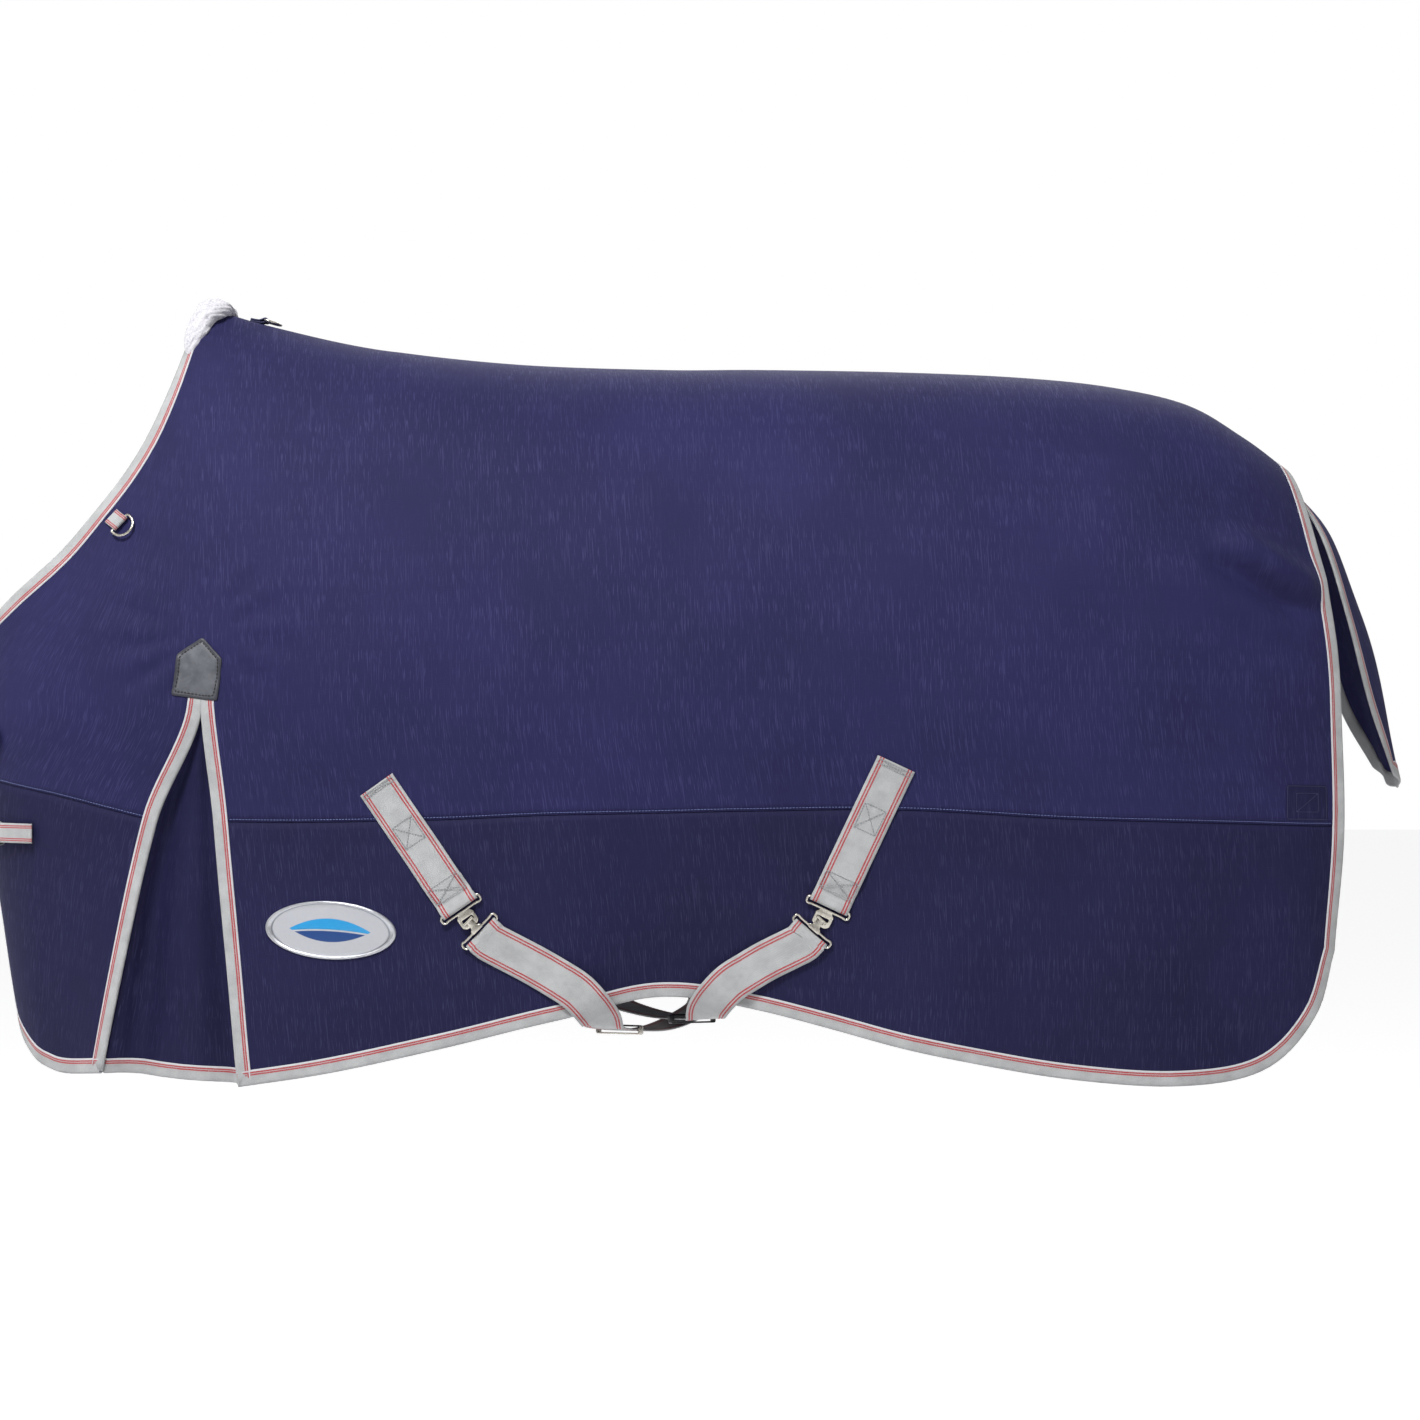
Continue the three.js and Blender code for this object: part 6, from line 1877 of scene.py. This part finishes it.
# ---------------------------------------------------------------- fleece
class RUG_OT_fleece(bpy.types.Operator):
    """Thick white fleece over the neck edge at the withers"""

    bl_idname = "rug.fleece"
    bl_label = "Wither fleece"

    def execute(self, context):
        cloth = body()
        left, right = cloth.ids["left", "front"], cloth.ids["right", "front"]
        chain = np.concatenate([left[:, TOP_ROW], cloth.ids["spine"][0, 1:-1], right[::-1, TOP_ROW]])
        points, normals, inward = edge_line(cloth, chain)
        run = run_length(points)
        middle = run[-1] / 2
        if points[len(points) // 2][0] + inward[len(points) // 2][0] < points[len(points) // 2][0]:
            inward = -inward
        reach = 0.098
        at = np.linspace(middle - reach, middle + reach, 150)
        points = at_lengths(at, run, points)
        normals, inward = (unit(at_lengths(at, run, v)) for v in (normals, inward))
        rng = np.random.default_rng(7)
        sections, places = [], []
        turns = np.linspace(0, 2 * math.pi, 57)[:-1]
        waves = rng.uniform(0, 2 * math.pi, 24)
        pitch = rng.uniform(80, 520, 24)
        twist = rng.integers(2, 15, 24)
        for k, s in enumerate(at):
            u = (s - at[0]) / (at[-1] - at[0])
            end = min(1.0, math.sqrt(max(0.02, 1 - (2 * u - 1) ** 2)) * 1.35)
            back = 0.027 + 0.013 * math.exp(-((2 * u - 1) / 0.5) ** 2)
            ring = []
            for turn in turns:
                rough = sum(math.sin(waves[i] + pitch[i] * s + twist[i] * turn) for i in range(24)) / 24
                size = end * (1 + 0.30 * rough)
                across = (math.cos(turn) * (back + 0.006) / 2 * size) + (back - 0.006) / 2
                up = math.sin(turn) * 0.0135 * size
                ring.append(points[k] + inward[k] * across + normals[k] * (up + 0.0025))
            sections.append(ring)
            places.append([(s, turn * 0.01) for turn in turns])
        pad = lofted("wither_fleece", np.array(sections), np.array(places))
        finish_piece(pad, "rug", "fleece", "White fleece", "wither_fleece_pad")
        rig.padded(pad, fill=0.9)
        return {"FINISHED"}


# ---------------------------------------------------------------- tail flap
def flap_surface():
    """The flap's cloth, curled forward at its sides, with its top tucked under the rug."""
    middle = np.array([(x, 0, z) for x, z in FLAP_LINE]) * MM + FLAP_TOP
    edge = np.array([
        (x - wrap, half, z + (26 if k == 4 else 0))
        for k, ((x, z), half, wrap) in enumerate(zip(FLAP_LINE, FLAP_HALF_WIDTHS, FLAP_WRAP))
    ]) * MM + FLAP_TOP
    t = np.linspace(0, 1, 91)
    middle, edge = along_rail(middle, t), along_rail(edge, t)
    s = np.linspace(-1, 1, 61)[None, :, None]
    curl = (edge - middle)[:, None] * (1, 0, 1) * s**2
    grid = middle[:, None] * (1, 0, 1) + curl + edge[:, None] * (0, 1, 0) * s
    across = s[..., 0]
    fold = 0.0022 * np.sin(across * 9.5 + 0.7) * np.clip(t[:, None] * 1.6 - 0.1, 0, 1)
    fold = fold + 0.0016 * np.sin(t[:, None] * 15 + across * 3) * (1 - across**2)
    grid = grid + np.array((0.85, 0, 0.5)) * fold[..., None]
    reach = np.linspace(0.022, 0.002, FLAP_TUCK_ROWS)
    tuck = grid[0][None] + np.array((-0.79, 0, 0.61)) * reach[:, None, None]
    grid = np.vstack([tuck, grid])
    ids = np.arange(grid.shape[0] * grid.shape[1]).reshape(grid.shape[:2])
    run = run_length(grid[:, 30])[:, None] * np.ones(grid.shape[:2])
    width = across * edge[:, 1].max() * np.ones(grid.shape[:2])
    block, where = BodyCloth.blocks(ids, np.stack([width, run], axis=-1))
    flat = grid.reshape(-1, 3)
    if vertex_normals(flat, block)[:, 0].mean() < 0:
        block, where = block[:, ::-1], where[:, ::-1]
    made = Surface(flat, block)
    made.places, made.ids = where, ids
    return made


class RUG_OT_tail_flap(bpy.types.Operator):
    """Tail flap with its bound edge"""

    bl_idname = "rug.tail_flap"
    bl_label = "Tail flap"

    def execute(self, context):
        made = flap_surface()
        outer = made.points + made.normals * FLAP_THICKNESS
        cloth = from_data("tail_flap_cloth", outer, made.quads, made.places)
        apply(cloth, "SOLIDIFY", thickness=FLAP_THICKNESS, offset=-1)
        ids = made.ids[FLAP_TUCK_ROWS:]
        chain = np.concatenate([ids[:, 0], ids[-1, 1:-1], ids[::-1, -1]])
        tape = binding("tail_flap_tape", made, chain, 0.0, FLAP_THICKNESS)
        finish_piece(cloth, None, "navy_shell", "Navy slub cloth", "tail_flap")
        finish_piece(tape, None, "tape", "Grey binding tape", "tail_flap_binding")
        for piece in (cloth, tape):
            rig.blend(piece, "rug", "tail_flap", start=(0.745, 0, -0.138), end=(0.760, 0, -0.166))
        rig.sheet(cloth, flat=(0.30, 0.44), held="hung", area=cut_area(cloth))
        return {"FINISHED"}


# ---------------------------------------------------------------- stage
class RUG_OT_stage(bpy.types.Operator):
    """Pale floor, soft studio light and the camera"""

    bl_idname = "rug.stage"
    bl_label = "Stage"

    def execute(self, context):
        n, shader = new_material("Pale floor")
        set_plain(shader, {"Base Color": (0.93, 0.93, 0.94, 1), "Roughness": 0.85,
                           "Specular IOR Level": 0.1, "Emission Color": (1, 1, 1, 1)})
        lit = n.times(n.add("LightPath").outputs["Is Camera Ray"], 0.55)
        n.put(shader.inputs["Emission Strength"], lit)
        bpy.ops.object.select_all(action="DESELECT")
        bpy.ops.mesh.primitive_plane_add(size=60, location=(0, 0, FLOOR))
        ground = context.object
        ground.name = "floor"
        bpy.ops.object.transform_apply(location=True)
        ground.data.materials.append(bpy.data.materials["Pale floor"])
        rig.stage(ground)
        for name, place, size, power in (
            ("key", (-1.4, -3.2, 3.4), 1.2, 290),
            ("fill", (2.6, -3.4, 1.6), 2.4, 22),
            ("front", (-3.6, -0.4, 1.0), 2.0, 34),
            ("back", (0.6, 3.4, 2.4), 2.6, 80),
        ):
            bpy.ops.object.light_add(type="AREA", location=place)
            light = context.object
            light.name = f"{name}_light"
            light.data.size = size
            light.data.energy = power
            heading = Vector((0, 0, -0.45)) - Vector(place)
            light.rotation_euler = heading.to_track_quat("-Z", "Y").to_euler()
        world = bpy.data.worlds.new("Studio")
        world.use_nodes = True
        sky = Nodes(world.node_tree)
        seen = sky.add("LightPath").outputs["Is Camera Ray"]
        background = world.node_tree.nodes["Background"]
        background.inputs["Color"].default_value = (1, 1, 1, 1)
        sky.put(background.inputs["Strength"], sky.plus(sky.times(seen, 0.6), 0.4))
        context.scene.world = world
        context.scene.view_settings.view_transform = "Standard"
        bpy.ops.object.camera_add(location=EYE, rotation=(math.radians(90), 0, 0))
        camera = context.object
        camera.data.sensor_width = SENSOR
        camera.data.lens = SENSOR * VIEW_DISTANCE / VIEW_WIDTH
        context.scene.camera = camera
        return {"FINISHED"}


# ---------------------------------------------------------------- panel, registration and main
OPERATORS = (
    RUG_OT_stage, RUG_OT_lining, RUG_OT_shell, RUG_OT_bindings, RUG_OT_gussets, RUG_OT_patches,
    RUG_OT_badge, RUG_OT_rings, RUG_OT_surcingles, RUG_OT_belly_straps, RUG_OT_chest_straps,
    RUG_OT_fleece, RUG_OT_tail_flap,
)


class RUG_PT_pieces(bpy.types.Panel):
    """The rug's settings, and a button for each piece"""

    bl_label = "Turnout rug"
    bl_space_type = "VIEW_3D"
    bl_region_type = "UI"
    bl_category = "Rug"

    def draw(self, context):
        scene = context.scene
        for settings in (scene.rug_cloth, scene.rug_trim, scene.rug_fittings):
            for name in settings.__annotations__:
                self.layout.prop(settings, name)
        for operator in OPERATORS:
            self.layout.operator(operator.bl_idname)


SETTINGS = {
    "rug_cloth": RugClothSettings, "rug_trim": RugTrimSettings, "rug_fittings": RugFittingSettings,
}


def register():
    for kind in (*SETTINGS.values(), *OPERATORS, RUG_PT_pieces):
        bpy.utils.register_class(kind)
    for name, kind in SETTINGS.items():
        setattr(bpy.types.Scene, name, PointerProperty(type=kind))


def unregister():
    for name in SETTINGS:
        delattr(bpy.types.Scene, name)
    for kind in (RUG_PT_pieces, *reversed(OPERATORS), *SETTINGS.values()):
        bpy.utils.unregister_class(kind)


def make_materials():
    """Every finish of the rug, each made once."""
    _made["slub_weave"] = slub_weave()
    _made["ribbed_band"] = ribbed_band()
    _made["handled_metal"] = handled_metal()
    shell_material("Navy slub cloth")
    # A copy of the shell cloth darkened all over: painted shade for the lower panels, the gussets and the leg patches
    shell_material("Navy slub cloth, painted shade", tone=0.66)
    lining_material()
    band_material("Grey binding tape", 0.0034, 0.0061, 0.0009, pale=0.0024)
    band_material("Grey surcingle webbing", 0.0045, 0.0080, 0.00095, half_width=0.025)
    band_material("Grey narrow webbing", 0.0032, 0.0056, 0.0007, half_width=0.0125)
    band_material("Navy webbing", -1.0, -1.0, 0.0005, half_width=0.011, ground=(0.028, 0.030, 0.085))
    leather_material()
    fleece_material()
    metal_material("Plated steel", tuple(fitting_settings().nickel))
    metal_material("Blackened steel", (0.012, 0.012, 0.014), black=True)
    thread_material("Blue topstitch thread", (0.16, 0.20, 0.42))
    thread_material("Navy thread", (0.030, 0.032, 0.085))
    thread_material("Black thread", (0.012, 0.012, 0.014))
    thread_material("Grey thread", (0.24, 0.25, 0.26))
    badge_material()


def main():
    register()
    make_materials()
    for operator in OPERATORS:
        area, name = operator.bl_idname.split(".")
        getattr(getattr(bpy.ops, area), name)()
    sizes = {"cad": CAD_BOX, "visual": [list(corner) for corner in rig.bounds()]}
    with open("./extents.json", "w") as out:
        json.dump(sizes, out)


if __name__ == "__main__":
    main()
